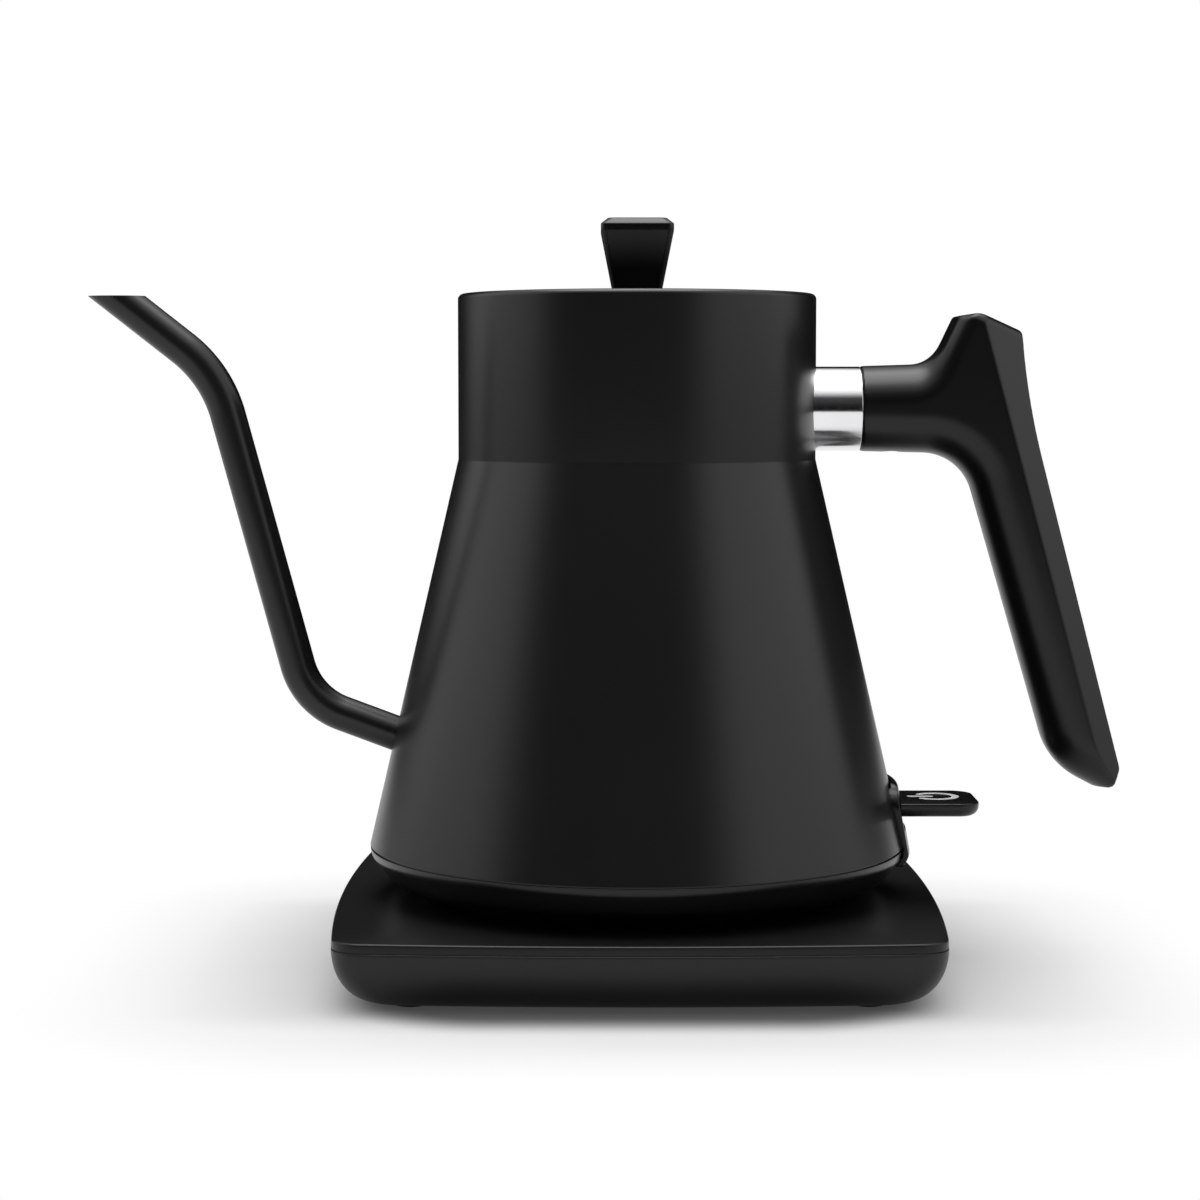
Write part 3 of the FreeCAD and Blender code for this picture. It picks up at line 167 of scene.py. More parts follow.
class HandleSizes(PropertyGroup):
    axis_height: mm("Arm height", "Height of the arm's axis", 147.55)
    collar_radius: mm("Collar radius", "Radius of the steel collar", 11.15)
    collar_end: mm("Collar end", "Where the collar meets the grip", 59.3)
    collar_edge: mm("Collar edge", "Round of the collar's outer edge", 0.3)
    collar_sink: mm("Collar sink", "Depth in the wall before it is fitted", 3.0)
    bore: mm("Bore", "Radius of the stud's hole", 4.0)
    grain: mm("Mesh step", "Size of the grip's mesh", 0.42)
    easing: whole("Easing", "How often the grip's edges are eased", 6)


class LidSizes(PropertyGroup):
    radius: mm("Radius", "Radius of the lid", 45.3)
    top: mm("Top", "Height of the lid's top", 177.6)
    edge: mm("Edge", "Round of the lid's edge", 0.6)
    knob_foot: mm("Knob foot", "Half the width of the knob's foot", 6.35)
    knob_half: mm("Knob half", "Half the knob's largest width", 9.6)
    knob_crown: mm("Knob crown", "Half the width of the knob's top", 7.7)
    knob_shoulder: mm("Knob shoulder", "Height where the knob is widest", 194.2)
    knob_band: mm("Knob band", "Height where its bevel begins", 196.2)
    knob_top: mm("Knob top", "Height of the knob", 197.65)
    knob_corner: mm("Knob corner", "Round of its upright edges", 1.5)
    knob_edge: mm("Knob edge", "Fine bevel of its level edges", 0.3)


class CoverSizes(PropertyGroup):
    groove: mm("Groove", "Height and depth of the groove under the seam", 0.52)
    groove_edge: mm("Groove edge", "Round of the edge below it", 0.2)
    turn_radius: mm("Turn radius", "Radius where the side turns under", 71.3)
    turn: mm("Turn", "Height where the side turns under", 29.4)
    turn_round: mm("Turn round", "Round of that turn", 4.0)
    heel_radius: mm("Heel radius", "Radius where the underside begins", 65.6)
    heel: mm("Heel", "Height where the underside begins", 21.6)
    heel_round: mm("Heel round", "Round where the underside begins", 9.0)
    bottom: mm("Bottom", "Height of the underside", 20.0)
    wall: mm("Wall", "Thickness of the moulding", 2.0)
    hole: mm("Hole", "Radius of the connector's hole", 20.0)
    seat: mm("Seat", "Outer radius of the ring that it stands on", 47.0)
    seat_width: mm("Seat width", "Width of that ring", 3.0)
    seat_drop: mm("Seat drop", "Height of that ring", 1.2)


class SwitchSizes(PropertyGroup):
    tip: mm("Tip", "How far out the lever reaches", 91.2)
    start: mm("Start", "Where the lever's tab begins", 69.9)
    tail: mm("Tail", "Inner end of the lever's neck", 51.0)
    slot_near: place("Slot near", "One corner of the slot in the body", (58.0, -11.6, 33.4))
    slot_far: place("Slot far", "The opposite corner of that slot", (73.3, 11.6, 45.1))
    half: mm("Half", "Half the lever's width", 12.7)
    neck_half: mm("Neck half", "Half the width of its neck", 9.3)
    top: mm("Top", "Height of the lever's top", 43.2)
    thickness: mm("Thickness", "Thickness of the lever", 3.7)
    corner: mm("Corner", "Round of the lever's corners", 6.0)
    seat: mm("Seat", "The frame is laid on the wall where it is this near", 0.5)
    under_round: mm("Under round", "Round of the lever's lower edge", 2.6)
    top_round: mm("Top round", "Round of its upper edge", 0.35)
    sign_middle: mm("Sign middle", "Middle of the power sign", 80.57)
    sign_radius: mm("Sign radius", "Radius of the sign's ring", 5.4)
    sign_aside: mm("Sign aside", "From the lever's middle line", 1.5)
    sign_stroke: mm("Sign stroke", "Width of the sign's lines", 1.9)
    sign_gap: slant("Sign gap", "Half the angle of the ring's opening", 44)
    bar_start: mm("Bar start", "From the sign's middle to the bar's outer end", 6.7)
    bar_end: mm("Bar end", "From there to the bar's inner end", 1.5)
    print_depth: mm("Print depth", "Thickness of the printed sign", 0.05)
    grain: mm("Mesh step", "Size of the frame's mesh", 0.25)
    easing: whole("Easing", "How often the frame's edges are eased", 1)


class BaseSizes(PropertyGroup):
    half: mm("Half", "Half the width of the base", 78.95)
    bow: mm("Bow", "Radius of the bowed sides", 762.0)
    corner: mm("Corner", "Radius of the corners", 8.5)
    top: mm("Top", "Height of the top plate", 18.5)
    seam: mm("Seam", "Height of the seam under the plate", 16.0)
    bottom: mm("Bottom", "Height of the tray's underside", 1.2)
    tuck: mm("Tuck", "How far the side tucks in below", 12.0)
    plate_inset: mm("Plate inset", "From the tray's side to the plate's", 0.1)
    plate_edge: mm("Plate edge", "Round of the plate's upper edge", 0.6)
    seam_edge: mm("Seam edge", "Round of the edges at the seam", 0.25)
    mouth: mm("Mouth", "Radius of the connector's hole", 17.4)
    foot_radius: mm("Foot radius", "Radius of a foot", 4.5)
    foot_x: mm("Foot x", "Feet to left and right", 57.0)
    foot_y: mm("Foot y", "Feet to front and back", 58.0)
    foot_edge: mm("Foot edge", "Round of a foot's lower edge", 0.35)
    lead_way: mm("Lead way", "Radius of the gland's hole", 4.5)


class Finishes(PropertyGroup):
    paint: tint("Paint", "Satin black coat on the steel", 0.005, 0.005, 0.0051)
    plastic: tint("Plastic", "Black moulded plastic", 0.0012, 0.0012, 0.00122)
    control: tint("Control", "Plastic of the inner fittings", 0.003, 0.003, 0.00305)
    tray: tint("Tray", "Tray of the base", 0.0045, 0.0045, 0.0046)
    plate: tint("Plate", "Top plate of the base", 0.004, 0.004, 0.0041)
    steel: tint("Steel", "Bare stainless steel", 0.60, 0.60, 0.61)
    fastener: tint("Fastener", "Plated screws and brackets", 0.51, 0.51, 0.5185)
    polish: tint("Polish", "Polished stainless steel", 0.80, 0.80, 0.81)
    brass: tint("Brass", "Contacts", 0.75, 0.58, 0.30)
    aluminium: tint("Aluminium", "Heat spreader", 0.66, 0.66, 0.68)
    sheath: tint("Sheath", "Heating element", 0.594, 0.594, 0.612)
    rubber: tint("Rubber", "Feet and gland", 0.012, 0.012, 0.012)
    silicone: tint("Silicone", "Lid seal", 0.42, 0.42, 0.42)
    print: tint("Print", "Sign on the lever", 0.92, 0.92, 0.92)
    floor: tint("Floor", "Studio floor", 0.95, 0.95, 0.95)


# Node trees


class Value:
    """A socket of a node tree. Arithmetic on it adds Math nodes."""

    def __init__(self, nodes, socket):
        self.nodes = nodes
        self.socket = socket

    def __add__(self, other):
        return self.nodes.maths("ADD", self, other)

    def __radd__(self, other):
        return self.nodes.maths("ADD", other, self)

    def __sub__(self, other):
        return self.nodes.maths("SUBTRACT", self, other)

    def __rsub__(self, other):
        return self.nodes.maths("SUBTRACT", other, self)

    def __mul__(self, other):
        return self.nodes.maths("MULTIPLY", self, other)

    def __rmul__(self, other):
        return self.nodes.maths("MULTIPLY", other, self)


class Nodes:
    """Adds nodes to one tree."""

    def __init__(self, tree):
        self.tree = tree

    def add(self, kind, sockets=None, output=0, **settings):
        """Adds a node, sets it up, feeds its sockets and returns one output."""
        node = self.tree.nodes.new(kind)
        for name, setting in settings.items():
            setattr(node, name, setting)
        for key, feed in (sockets or {}).items():
            self.feed(node.inputs[key], feed)
        return Value(self, node.outputs[output])

    def feed(self, socket, feed):
        if isinstance(feed, Value):
            self.tree.links.new(feed.socket, socket)
        else:
            socket.default_value = feed

    def maths(self, operation, *feeds):
        return self.add("ShaderNodeMath", dict(enumerate(feeds)), operation=operation)


class Paint(Nodes):
    """Builds the nodes of one material or world."""

    def __init__(self, block):
        block.use_nodes = True
        super().__init__(block.node_tree)
        self.block = block

    def surface(self, **sockets):
        """Feeds the Principled shader and returns it; a socket's name has _ for its blanks."""
        shader = self.tree.nodes["Principled BSDF"]
        for name, feed in sockets.items():
            self.feed(shader.inputs[name.replace("_", " ")], feed)
        return Value(self, shader.outputs[0])

    def position(self):
        return self.add("ShaderNodeTexCoord", output="Object")

    def axes(self):
        """The three coordinates of the object's own space."""
        spot = self.position()
        return [self.add("ShaderNodeSeparateXYZ", {0: spot}, axis) for axis in "XYZ"]

    def noise(self, size, detail=2.0, stretch=(1, 1, 1)):
        """Noise from 0 to 1 whose lumps are about a size, in millimetres."""
        spot = self.add("ShaderNodeMapping", {"Vector": self.position(), "Scale": stretch})
        sockets = {"Vector": spot, "Scale": 1 / (size * MM), "Detail": detail}
        return self.add("ShaderNodeTexNoise", sockets)

    def blend(self, share, first, second):
        """A colour between two."""
        sockets = {"Factor": share, 6: (*first, 1), 7: (*second, 1)}
        return self.add("ShaderNodeMix", sockets, 2, data_type="RGBA")

    def mottled(self, share, colour, shades):
        """A colour between two shades of itself."""
        return self.blend(share, *([min(1, channel * painted_shade) for channel in colour] for painted_shade in shades))

    def ramp(self, value, start, end):
        """Rises smoothly from 0 at one value to 1 at another."""
        sockets = {"Value": value, "From Min": start, "From Max": end}
        return self.add("ShaderNodeMapRange", sockets, interpolation_type="SMOOTHSTEP")

    def bump(self, height, depth):
        """Normals from a height from 0 to 1, for a depth in millimetres."""
        return self.add("ShaderNodeBump", {"Height": height, "Distance": depth * MM})


class Tree(Nodes):
    """Builds a geometry node tree with named inputs."""

    def __init__(self, name):
        super().__init__(bpy.data.node_groups.new(name, "GeometryNodeTree"))
        self.tree.interface.new_socket("Geometry", in_out="OUTPUT", socket_type="NodeSocketGeometry")
        self.entry = self.tree.nodes.new("NodeGroupInput")

    def input(self, name, kind):
        self.tree.interface.new_socket(name, in_out="INPUT", socket_type=kind)
        return Value(self, self.entry.outputs[name])

    def by_index(self, kind, feeds):
        """Gives each point the feed of its own number."""
        index = self.add("GeometryNodeInputIndex")
        node = self.add("GeometryNodeIndexSwitch", {"Index": index}, data_type=kind).socket.node
        while len(node.index_switch_items) < len(feeds):
            node.index_switch_items.new()
        for number, feed in enumerate(feeds):
            if feed is not None:
                self.feed(node.inputs[number + 1], feed)
        return Value(self, node.outputs[0])

    def finish(self, geometry):
        """Ends the tree: real geometry with its material."""
        material = self.input("Finish", "NodeSocketMaterial")
        real = self.add("GeometryNodeRealizeInstances", {0: geometry})
        painted = self.add("GeometryNodeSetMaterial", {"Geometry": real, "Material": material})
        self.feed(self.tree.nodes.new("NodeGroupOutput").inputs[0], painted)
        return self.tree


# Finishes

# Slow clouds in a finish, in millimetres, and the darkest and lightest shade of its colour
COAT_CLOUDS = 34
COAT_SHADES = (0.85, 1.2)
METAL_CLOUDS = 14
METAL_SHADES = (0.9, 1.08)
# Width of the lines on metal, in millimetres, and how the axes are stretched along them
METAL_LINES = 0.5
EVEN = (1, 1, 1)
ALONG_X = (0.04, 1, 1)
UPRIGHT = (1, 1, 0.08)
# How much the roughness changes over a coat, and its share that changes on metal
COAT_DRIFT = 0.03
METAL_DRIFT = 0.5
# Colour, roughness, size and depth of the grain in millimetres, specular level
COATS = {
    "satin_black_paint": ("paint", 0.29, 0.35, 0.003, 0.4),
    "black_plastic": ("plastic", 0.30, 0.25, 0.003, 0.36),
    "base_plastic": ("tray", 0.38, 0.25, 0.004, 0.36),
    "base_top_gloss": ("plate", 0.36, 0.25, 0.004, 0.28),
    "control_plastic": ("control", 0.5, 0.3, 0.02, 0.5),
    "foot_rubber": ("rubber", 0.72, 0.3, 0.03, 0.5),
    "seal_silicone": ("silicone", 0.5, 0.6, 0.01, 0.5),
    "white_print": ("print", 0.45, 0.2, 0.004, 0.5),
}
# Colour, roughness, direction and depth of the lines in millimetres
METALS = {
    "polished_steel": ("polish", 0.13, ALONG_X, 0.0005),
    "bare_steel": ("steel", 0.26, UPRIGHT, 0.002),
    "fastener_steel": ("fastener", 0.3, EVEN, 0.004),
    "spreader_aluminium": ("aluminium", 0.42, EVEN, 0.01),
    "element_sheath": ("sheath", 0.38, EVEN, 0.01),
    "contact_brass": ("brass", 0.22, EVEN, 0.003),
}


def new_paint(name):
    """Paints over the frame's own material of that name, or starts a new one."""
    return Paint(bpy.data.materials.get(name) or bpy.data.materials.new(name))


def coated(name, colour, roughness, grain, depth, shine):
    """A coat or moulding: slow drift in colour and gloss, fine grain in relief."""
    paint = new_paint(name)
    slow = paint.noise(COAT_CLOUDS, detail=3)
    fine = paint.noise(grain)
    paint.surface(
        Base_Color=paint.mottled(slow, colour, COAT_SHADES),
        Metallic=0.0,
        Roughness=roughness - COAT_DRIFT / 2 + COAT_DRIFT * slow + COAT_DRIFT * (fine - 0.5),
        Specular_IOR_Level=shine,
        Normal=paint.bump(fine, depth),
    )


def metal(name, colour, roughness, stretch, depth):
    """Bare metal with fine lines along one axis."""
    paint = new_paint(name)
    lines = paint.noise(METAL_LINES, detail=3, stretch=stretch)
    slow = paint.noise(METAL_CLOUDS)
    paint.surface(
        Base_Color=paint.mottled(slow, colour, METAL_SHADES),
        Metallic=1.0,
        Roughness=roughness + METAL_DRIFT * roughness * (lines - 0.5),
        Normal=paint.bump(lines, depth),
    )


# Outlines


def rounded(corners, steps=ROUND_STEPS):
    """Points of a closed outline; a corner with a third value is rounded to that radius."""
    points = []
    for i, corner in enumerate(corners):
        here = Vector(corner[:2])
        if len(corner) < 3:
            points.append(here)
            continue
        back = (Vector(corners[i - 1][:2]) - here).normalized()
        ahead = (Vector(corners[(i + 1) % len(corners)][:2]) - here).normalized()
        half = back.angle(ahead) / 2
        reach = corner[2] / math.tan(half)
        middle = here + (back + ahead).normalized() * (corner[2] / math.sin(half))
        start = here + back * reach - middle
        turn = start.angle_signed(here + ahead * reach - middle)
        for step in range(steps + 1):
            points.append(middle + Matrix.Rotation(-turn * step / steps, 2) @ start)
    return points


def bowed_square(half, bow, corner):
    """A square outline whose sides bow out to one large radius, with round corners."""
    shift = half - bow
    middle = (shift + math.sqrt(2 * (bow - corner) ** 2 - shift**2)) / 2
    turn = math.atan2(middle, middle - shift)
    points = []
    for quarter in range(4):
        heading = quarter * math.pi / 2
        for step in range(SIDE_STEPS):
            angle = heading - turn + 2 * turn * step / SIDE_STEPS
            points.append(polar(heading, shift) + polar(angle, bow))
        for step in range(CORNER_STEPS):
            angle = heading + turn + (math.pi / 2 - 2 * turn) * step / CORNER_STEPS
            points.append(polar(heading + math.pi / 4, middle * math.sqrt(2)) + polar(angle, corner))
    return points


def polar(angle, radius):
    return Vector((math.cos(angle), math.sin(angle))) * radius


def level(points, height):
    return [Vector((x, y, height)) for x, y in points]


def edge_loops(outline, sizes, steps, radius, face, inset=0):
    """An outline's loops round an edge, from its face to its side; a radius below 0 goes up."""
    loops = []
    for step in range(steps + 1):
        turn = math.pi / 2 * step / steps
        drop = radius * (1 - math.cos(turn))
        loops.append(outline(sizes, inset + abs(radius) * (1 - math.sin(turn)), face - drop))
    return loops


# Meshes


def new_object(name, mesh):
    thing = bpy.data.objects.new(name, mesh)
    bpy.context.scene.collection.objects.link(thing)
    return thing


@contextmanager
def edited(thing):
    """A bmesh of an object, written back to it at the end."""
    bm = bmesh.new()
    bm.from_mesh(thing.data)
    yield bm
    bm.to_mesh(thing.data)
    bm.free()


def right_side_out(bm):
    bmesh.ops.recalc_face_normals(bm, faces=bm.faces)
    if bm.calc_volume(signed=True) < 0:
        bmesh.ops.reverse_faces(bm, faces=bm.faces)


def mesh_from(bm, name):
    """Closes a bmesh into an object whose faces point outwards."""
    bmesh.ops.remove_doubles(bm, verts=bm.verts, dist=WELD)
    right_side_out(bm)
    mesh = bpy.data.meshes.new(name)
    bm.to_mesh(mesh)
    bm.free()
    return new_object(name, mesh)


def stacked(name, loops, closed=False):
    """A solid through loops of equal count: capped at both ends, or closed on itself."""
    bm = bmesh.new()
    rings = [[bm.verts.new(point) for point in loop] for loop in loops]
    pairs = list(zip(rings, rings[1:]))
    if closed:
        pairs.append((rings[-1], rings[0]))
    else:
        bm.faces.new(rings[0])
        bm.faces.new(rings[-1])
    count = len(rings[0])
    for first, second in pairs:
        for i in range(count):
            j = (i + 1) % count
            bm.faces.new((first[i], first[j], second[j], second[i]))
    return mesh_from(bm, name)


def box_between(name, near, far):
    near, far = Vector(near), Vector(far)
    corners = [(near.x, near.y), (far.x, near.y), (far.x, far.y), (near.x, far.y)]
    return stacked(name, [level(corners, near.z), level(corners, far.z)])


def rod_between(name, start, end, radius, steps=ROD_STEPS):
    start, end = Vector(start), Vector(end)
    turn = (end - start).to_track_quat("Z", "Y").to_matrix()
    ring = [turn @ polar(2 * math.pi * i / steps, radius).to_3d() for i in range(steps)]
    return stacked(name, [[start + point for point in ring], [end + point for point in ring]])


def evaluated(thing):
    """The object's final mesh as a new object, in place of the old one."""
    graph = bpy.context.evaluated_depsgraph_get()
    mesh = bpy.data.meshes.new_from_object(thing.evaluated_get(graph))
    name = thing.name
    bpy.data.objects.remove(thing)
    made = new_object(name, mesh)
    mesh.name = made.name
    return made


def carve(thing, *cutters):
    """Cuts solids out of an object."""
    for cutter in cutters:
        modifier = thing.modifiers.new("cut", "BOOLEAN")
        modifier.object = cutter
        modifier.solver = "EXACT"
    made = evaluated(thing)
    for cutter in cutters:
        bpy.data.objects.remove(cutter)
    return made


def joined(thing, other):
    """Adds the mesh of another object to one."""
    with edited(thing) as bm:
        bm.from_mesh(other.data)
    bpy.data.objects.remove(other)
    return thing


def moulded_copy(node, name, step, passes):
    """A copy of a CAD node on an even fine mesh, with its sharp edges eased."""
    bm = bmesh.new()
    bm.from_mesh(frame["nodes"][node].data)
    copy = mesh_from(bm, name)
    even = copy.modifiers.new("even", "REMESH")
    even.mode = "VOXEL"
    even.voxel_size = step
    copy.modifiers.new("ease", "SMOOTH").iterations = passes
    return evaluated(copy)


def is_level(edge):
    return abs(edge.verts[0].co.z - edge.verts[1].co.z) < LEVEL


def cut_flat(thing, spot, side):
    """Takes off what lies beyond a plane and leaves the cut open."""
    with edited(thing) as bm:
        everything = bm.verts[:] + bm.edges[:] + bm.faces[:]
        bmesh.ops.bisect_plane(bm, geom=everything, plane_co=spot, plane_no=side, clear_outer=True)


def walled(outside, inside):
    """Joins an outer and an inner tube at their open ends into one wall."""
    inside.data.flip_normals()
    with edited(joined(outside, inside)) as bm:
        ends = [edge for edge in bm.edges if edge.is_boundary]
        middle = sum(edge.verts[0].co.z for edge in ends) / len(ends)
        for upper in (True, False):
            group = [edge for edge in ends if (edge.verts[0].co.z > middle) == upper]
            bmesh.ops.bridge_loops(bm, edges=group)
        bmesh.ops.recalc_face_normals(bm, faces=bm.faces)
    return outside


def screw_sinks(node, low):
    """Rods for the holes through which the separate screws of a node are reached from below."""
    bm = bmesh.new()
    bm.from_mesh(frame["nodes"][node].data)
    bmesh.ops.remove_doubles(bm, verts=bm.verts, dist=WELD)
    left = dict.fromkeys(bm.verts)
    sinks = []
    while left:
        screw = [left.popitem()[0]]
        for vert in screw:
            for edge in vert.link_edges:
                other = edge.other_vert(vert)
                if other in left:
                    del left[other]
                    screw.append(other)
        xs, ys, zs = zip(*(vert.co for vert in screw))
        x, y = ((min(values) + max(values)) / 2 for values in (xs, ys))
        sinks.append(rod_between("sink", (x, y, low), (x, y, min(zs)), SINK_RADIUS, SINK_STEPS))
    bm.free()
    return sinks


def dress(thing, finish, body, *nodes, crease=SHARP_TURNED):
    """Gives a piece its finish, its body and the CAD nodes that it stands for."""
    if finish not in [slot.name for slot in thing.data.materials if slot]:
        thing.data.materials.append(bpy.data.materials[finish])
    thing.data.set_sharp_from_angle(angle=math.radians(crease))
    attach(thing, body)
    if nodes:
        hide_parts(*nodes)


# Grown pieces


def grown(name, group, **wanted):
    """Runs a tree and returns its result as a plain mesh object."""
    seed = new_object(name, bpy.data.meshes.new(name))
    modifier = seed.modifiers.new("grow", "NODES")
    modifier.node_group = group
    for item in group.interface.items_tree:
        if item.in_out == "INPUT" and item.name in wanted:
            modifier[item.identifier] = wanted[item.name]
    made = evaluated(seed)
    made.data.materials.clear()
    made.data.materials.append(wanted["Finish"])
    return made


def turning_tree():
    """Turns a closed profile of radius and height about the Z axis."""
    tree = Tree("turned_piece")
    profile = tree.input("Profile", "NodeSocketObject")
    segments = tree.input("Segments", "NodeSocketInt")
    shape = tree.add("GeometryNodeObjectInfo", {"Object": profile}, "Geometry")
    count = tree.add("GeometryNodeAttributeDomainSize", {0: shape}, "Point Count")
    rows = count + 1
    grid = tree.add("GeometryNodeMeshGrid", {"Vertices X": segments + 1, "Vertices Y": rows})
    index = tree.add("GeometryNodeInputIndex")
    column = tree.maths("FLOOR", tree.maths("DIVIDE", index + 0.5, rows))
    row = tree.maths("MODULO", index - column * rows, count)
    sockets = {"Geometry": shape, "Value": tree.add("GeometryNodeInputPosition"), "Index": row}
    point = tree.add("GeometryNodeSampleIndex", sockets, data_type="FLOAT_VECTOR")
    angle = tree.maths("DIVIDE", column, segments) * (2 * math.pi)
    sockets = {"Vector": point, "Angle": angle}
    spot = tree.add("ShaderNodeVectorRotate", sockets, rotation_type="Z_AXIS")
    moved = tree.add("GeometryNodeSetPosition", {"Geometry": grid, "Position": spot})
    merged = tree.add("GeometryNodeMergeByDistance", {"Geometry": moved, "Distance": WELD})
    return tree.finish(merged)


def turned(name, corners, finish, steps=ROUND_STEPS):
    """A turned piece from a profile of (radius, height[, round])."""
    mesh = bpy.data.meshes.new(name + "_profile")
    mesh.from_pydata([(x, 0, z) for x, z in rounded(corners, steps)], [], [])
    profile = new_object(name + "_profile", mesh)
    made = grown(
        name,
        bpy.data.node_groups.get("turned_piece") or turning_tree(),
        Profile=profile,
        Segments=bpy.context.scene.kettle_body.segments,
        Finish=bpy.data.materials[finish],
    )
    bpy.data.objects.remove(profile)
    point_outwards(made)
    return made


def point_outwards(thing):
    """Turns a closed mesh right side out."""
    with edited(thing) as bm:
        bmesh.ops.dissolve_degenerate(bm, dist=SLIVER, edges=bm.edges)
        right_side_out(bm)


def tube_tree():
    """A tube along straight runs joined by bends."""
    tree = Tree("bent_tube")
    spots = [tree.input(name, "NodeSocketVector") for name in ("Mouth", "Upper", "Lower", "Root")]
    bends = [tree.input(name, "NodeSocketFloat") for name in ("Upper bend", "Lower bend")]
    radius = tree.input("Radius", "NodeSocketFloat")
    line = tree.add("GeometryNodeMeshLine", {"Count": len(spots)})
    corners = tree.by_index("VECTOR", spots)
    placed = tree.add("GeometryNodeSetPosition", {"Geometry": line, "Position": corners})
    bend = tree.by_index("FLOAT", [None, *bends, None])
    sockets = {"Geometry": placed, "Name": "bend", "Value": bend}
    marked = tree.add("GeometryNodeStoreNamedAttribute", sockets, data_type="FLOAT", domain="POINT")
    path = tree.add("GeometryNodeMeshToCurve", {"Mesh": marked})
    bend = tree.add("GeometryNodeInputNamedAttribute", {"Name": "bend"}, data_type="FLOAT")
    sockets = {"Curve": path, "Count": BEND_STEPS, "Radius": bend, "Limit Radius": False}
    eased = tree.add("GeometryNodeFilletCurve", sockets, mode="POLY")
    ring = tree.add("GeometryNodeCurvePrimitiveCircle", {"Resolution": ROD_STEPS, "Radius": radius})
    sockets = {"Curve": eased, "Profile Curve": ring, "Fill Caps": True}
    return tree.finish(tree.add("GeometryNodeCurveToMesh", sockets))


def feet_tree():
    """The same foot at the four corners of a rectangle."""
    tree = Tree("four_feet")
    foot = tree.input("Foot", "NodeSocketObject")
    across = tree.input("Across", "NodeSocketFloat")
    along = tree.input("Along", "NodeSocketFloat")
    sockets = {"Size X": across, "Size Y": along, "Vertices X": 2, "Vertices Y": 2}
    grid = tree.add("GeometryNodeMeshGrid", sockets)
    shape = tree.add("GeometryNodeObjectInfo", {"Object": foot}, "Geometry")
    return tree.finish(tree.add("GeometryNodeInstanceOnPoints", {"Points": grid, "Instance": shape}))


# Pieces


class KETTLE_OT_finishes(Operator):
    """Makes the finishes and puts them on the fittings that keep their CAD shape"""

    bl_idname = "kettle.finishes"
    bl_label = "Finishes and fittings"

    def execute(self, context):
        colours = context.scene.kettle_finishes
        for make, table in ((coated, COATS), (metal, METALS)):
            for name, (colour, *look) in table.items():
                make(name, getattr(colours, colour), *look)
        for entry in frame["record"]["subparts"]:
            mesh = frame["nodes"][entry["node"]].data
            mesh.materials.clear()
            mesh.materials.append(bpy.data.materials[entry["material_slot"]])
        return {"FINISHED"}


class KETTLE_OT_body(Operator):
    """Makes the steel body, painted outside and bare inside"""

    bl_idname = "kettle.body"
    bl_label = "Body"

    def execute(self, context):
        sizes = context.scene.kettle_body
        spout = context.scene.kettle_spout
        switch = context.scene.kettle_switch
        inner = sizes.top_radius - sizes.wall
        inner_rim = sizes.top_radius - sizes.rim_width
        lip = sizes.ledge - sizes.lip
        profile = [
            (sizes.seam_radius, sizes.seam),
            (sizes.top_radius, sizes.shoulder, sizes.shoulder_round),
            (sizes.top_radius, sizes.rim, sizes.rim_round),
            (inner_rim, sizes.rim, sizes.rim_edge),
            (inner_rim, sizes.ledge),
            (sizes.mouth, sizes.ledge, sizes.lip_round),
            (sizes.mouth, lip),
            (sizes.mouth + sizes.wall, lip),
            (sizes.mouth + sizes.wall, sizes.ledge - sizes.wall),
            (inner, sizes.ledge - sizes.wall),
            (inner, sizes.shoulder, sizes.shoulder_round),
            (sizes.seam_radius - sizes.wall, sizes.seam),
        ]
        shell = turned("kettle_body", profile, "satin_black_paint")
        bore = rod_between("spout_bore", spout.lower, spout.root, spout.radius - spout.wall)
        slot = box_between("switch_slot", switch.slot_near, switch.slot_far)
        shell = carve(shell, bore, slot)
        shell.data.materials.append(bpy.data.materials["bare_steel"])
        bare = shell.data.materials.find("bare_steel")
        for face in shell.data.polygons:
            inward = face.normal.to_2d().dot(face.center.to_2d().normalized()) < FACES_IN
            if inward and face.center.z < sizes.ledge:
                face.material_index = bare
        dress(shell, "satin_black_paint", "kettle", "body_shell")
        return {"FINISHED"}


class KETTLE_OT_spout(Operator):
    """Makes the bent tube of the spout, with its mouth cut level"""

    bl_idname = "kettle.spout"
    bl_label = "Spout"

    def execute(self, context):
        sizes = context.scene.kettle_spout
        body = context.scene.kettle_body
        tip = (sizes.mouth - sizes.upper).normalized()
        wanted = {
            "Mouth": sizes.mouth + tip * sizes.radius * OVERRUN,
            "Upper": sizes.upper,
            "Lower": sizes.lower,
            "Root": sizes.root,
            "Upper bend": sizes.upper_bend,
            "Lower bend": sizes.lower_bend,
            "Finish": bpy.data.materials["satin_black_paint"],
        }
        slope = math.atan2(body.seam_radius - body.top_radius, body.shoulder - body.seam)
        inwards = Vector((math.cos(slope), 0, -math.sin(slope)))
        wall_spot = Vector((body.wall - body.seam_radius, 0, body.seam))
        group = tube_tree()
        tubes = []
        for name, radius in (("spout_tube", sizes.radius), ("spout_inside", sizes.radius - sizes.wall)):
            tube = grown(name, group, Radius=radius, **wanted)
            point_outwards(tube)
            cut_flat(tube, sizes.mouth, Vector((0, 0, 1)))
            cut_flat(tube, wall_spot, inwards)
            tubes.append(tube)
        dress(walled(*tubes), "satin_black_paint", "kettle", "spout")
        return {"FINISHED"}


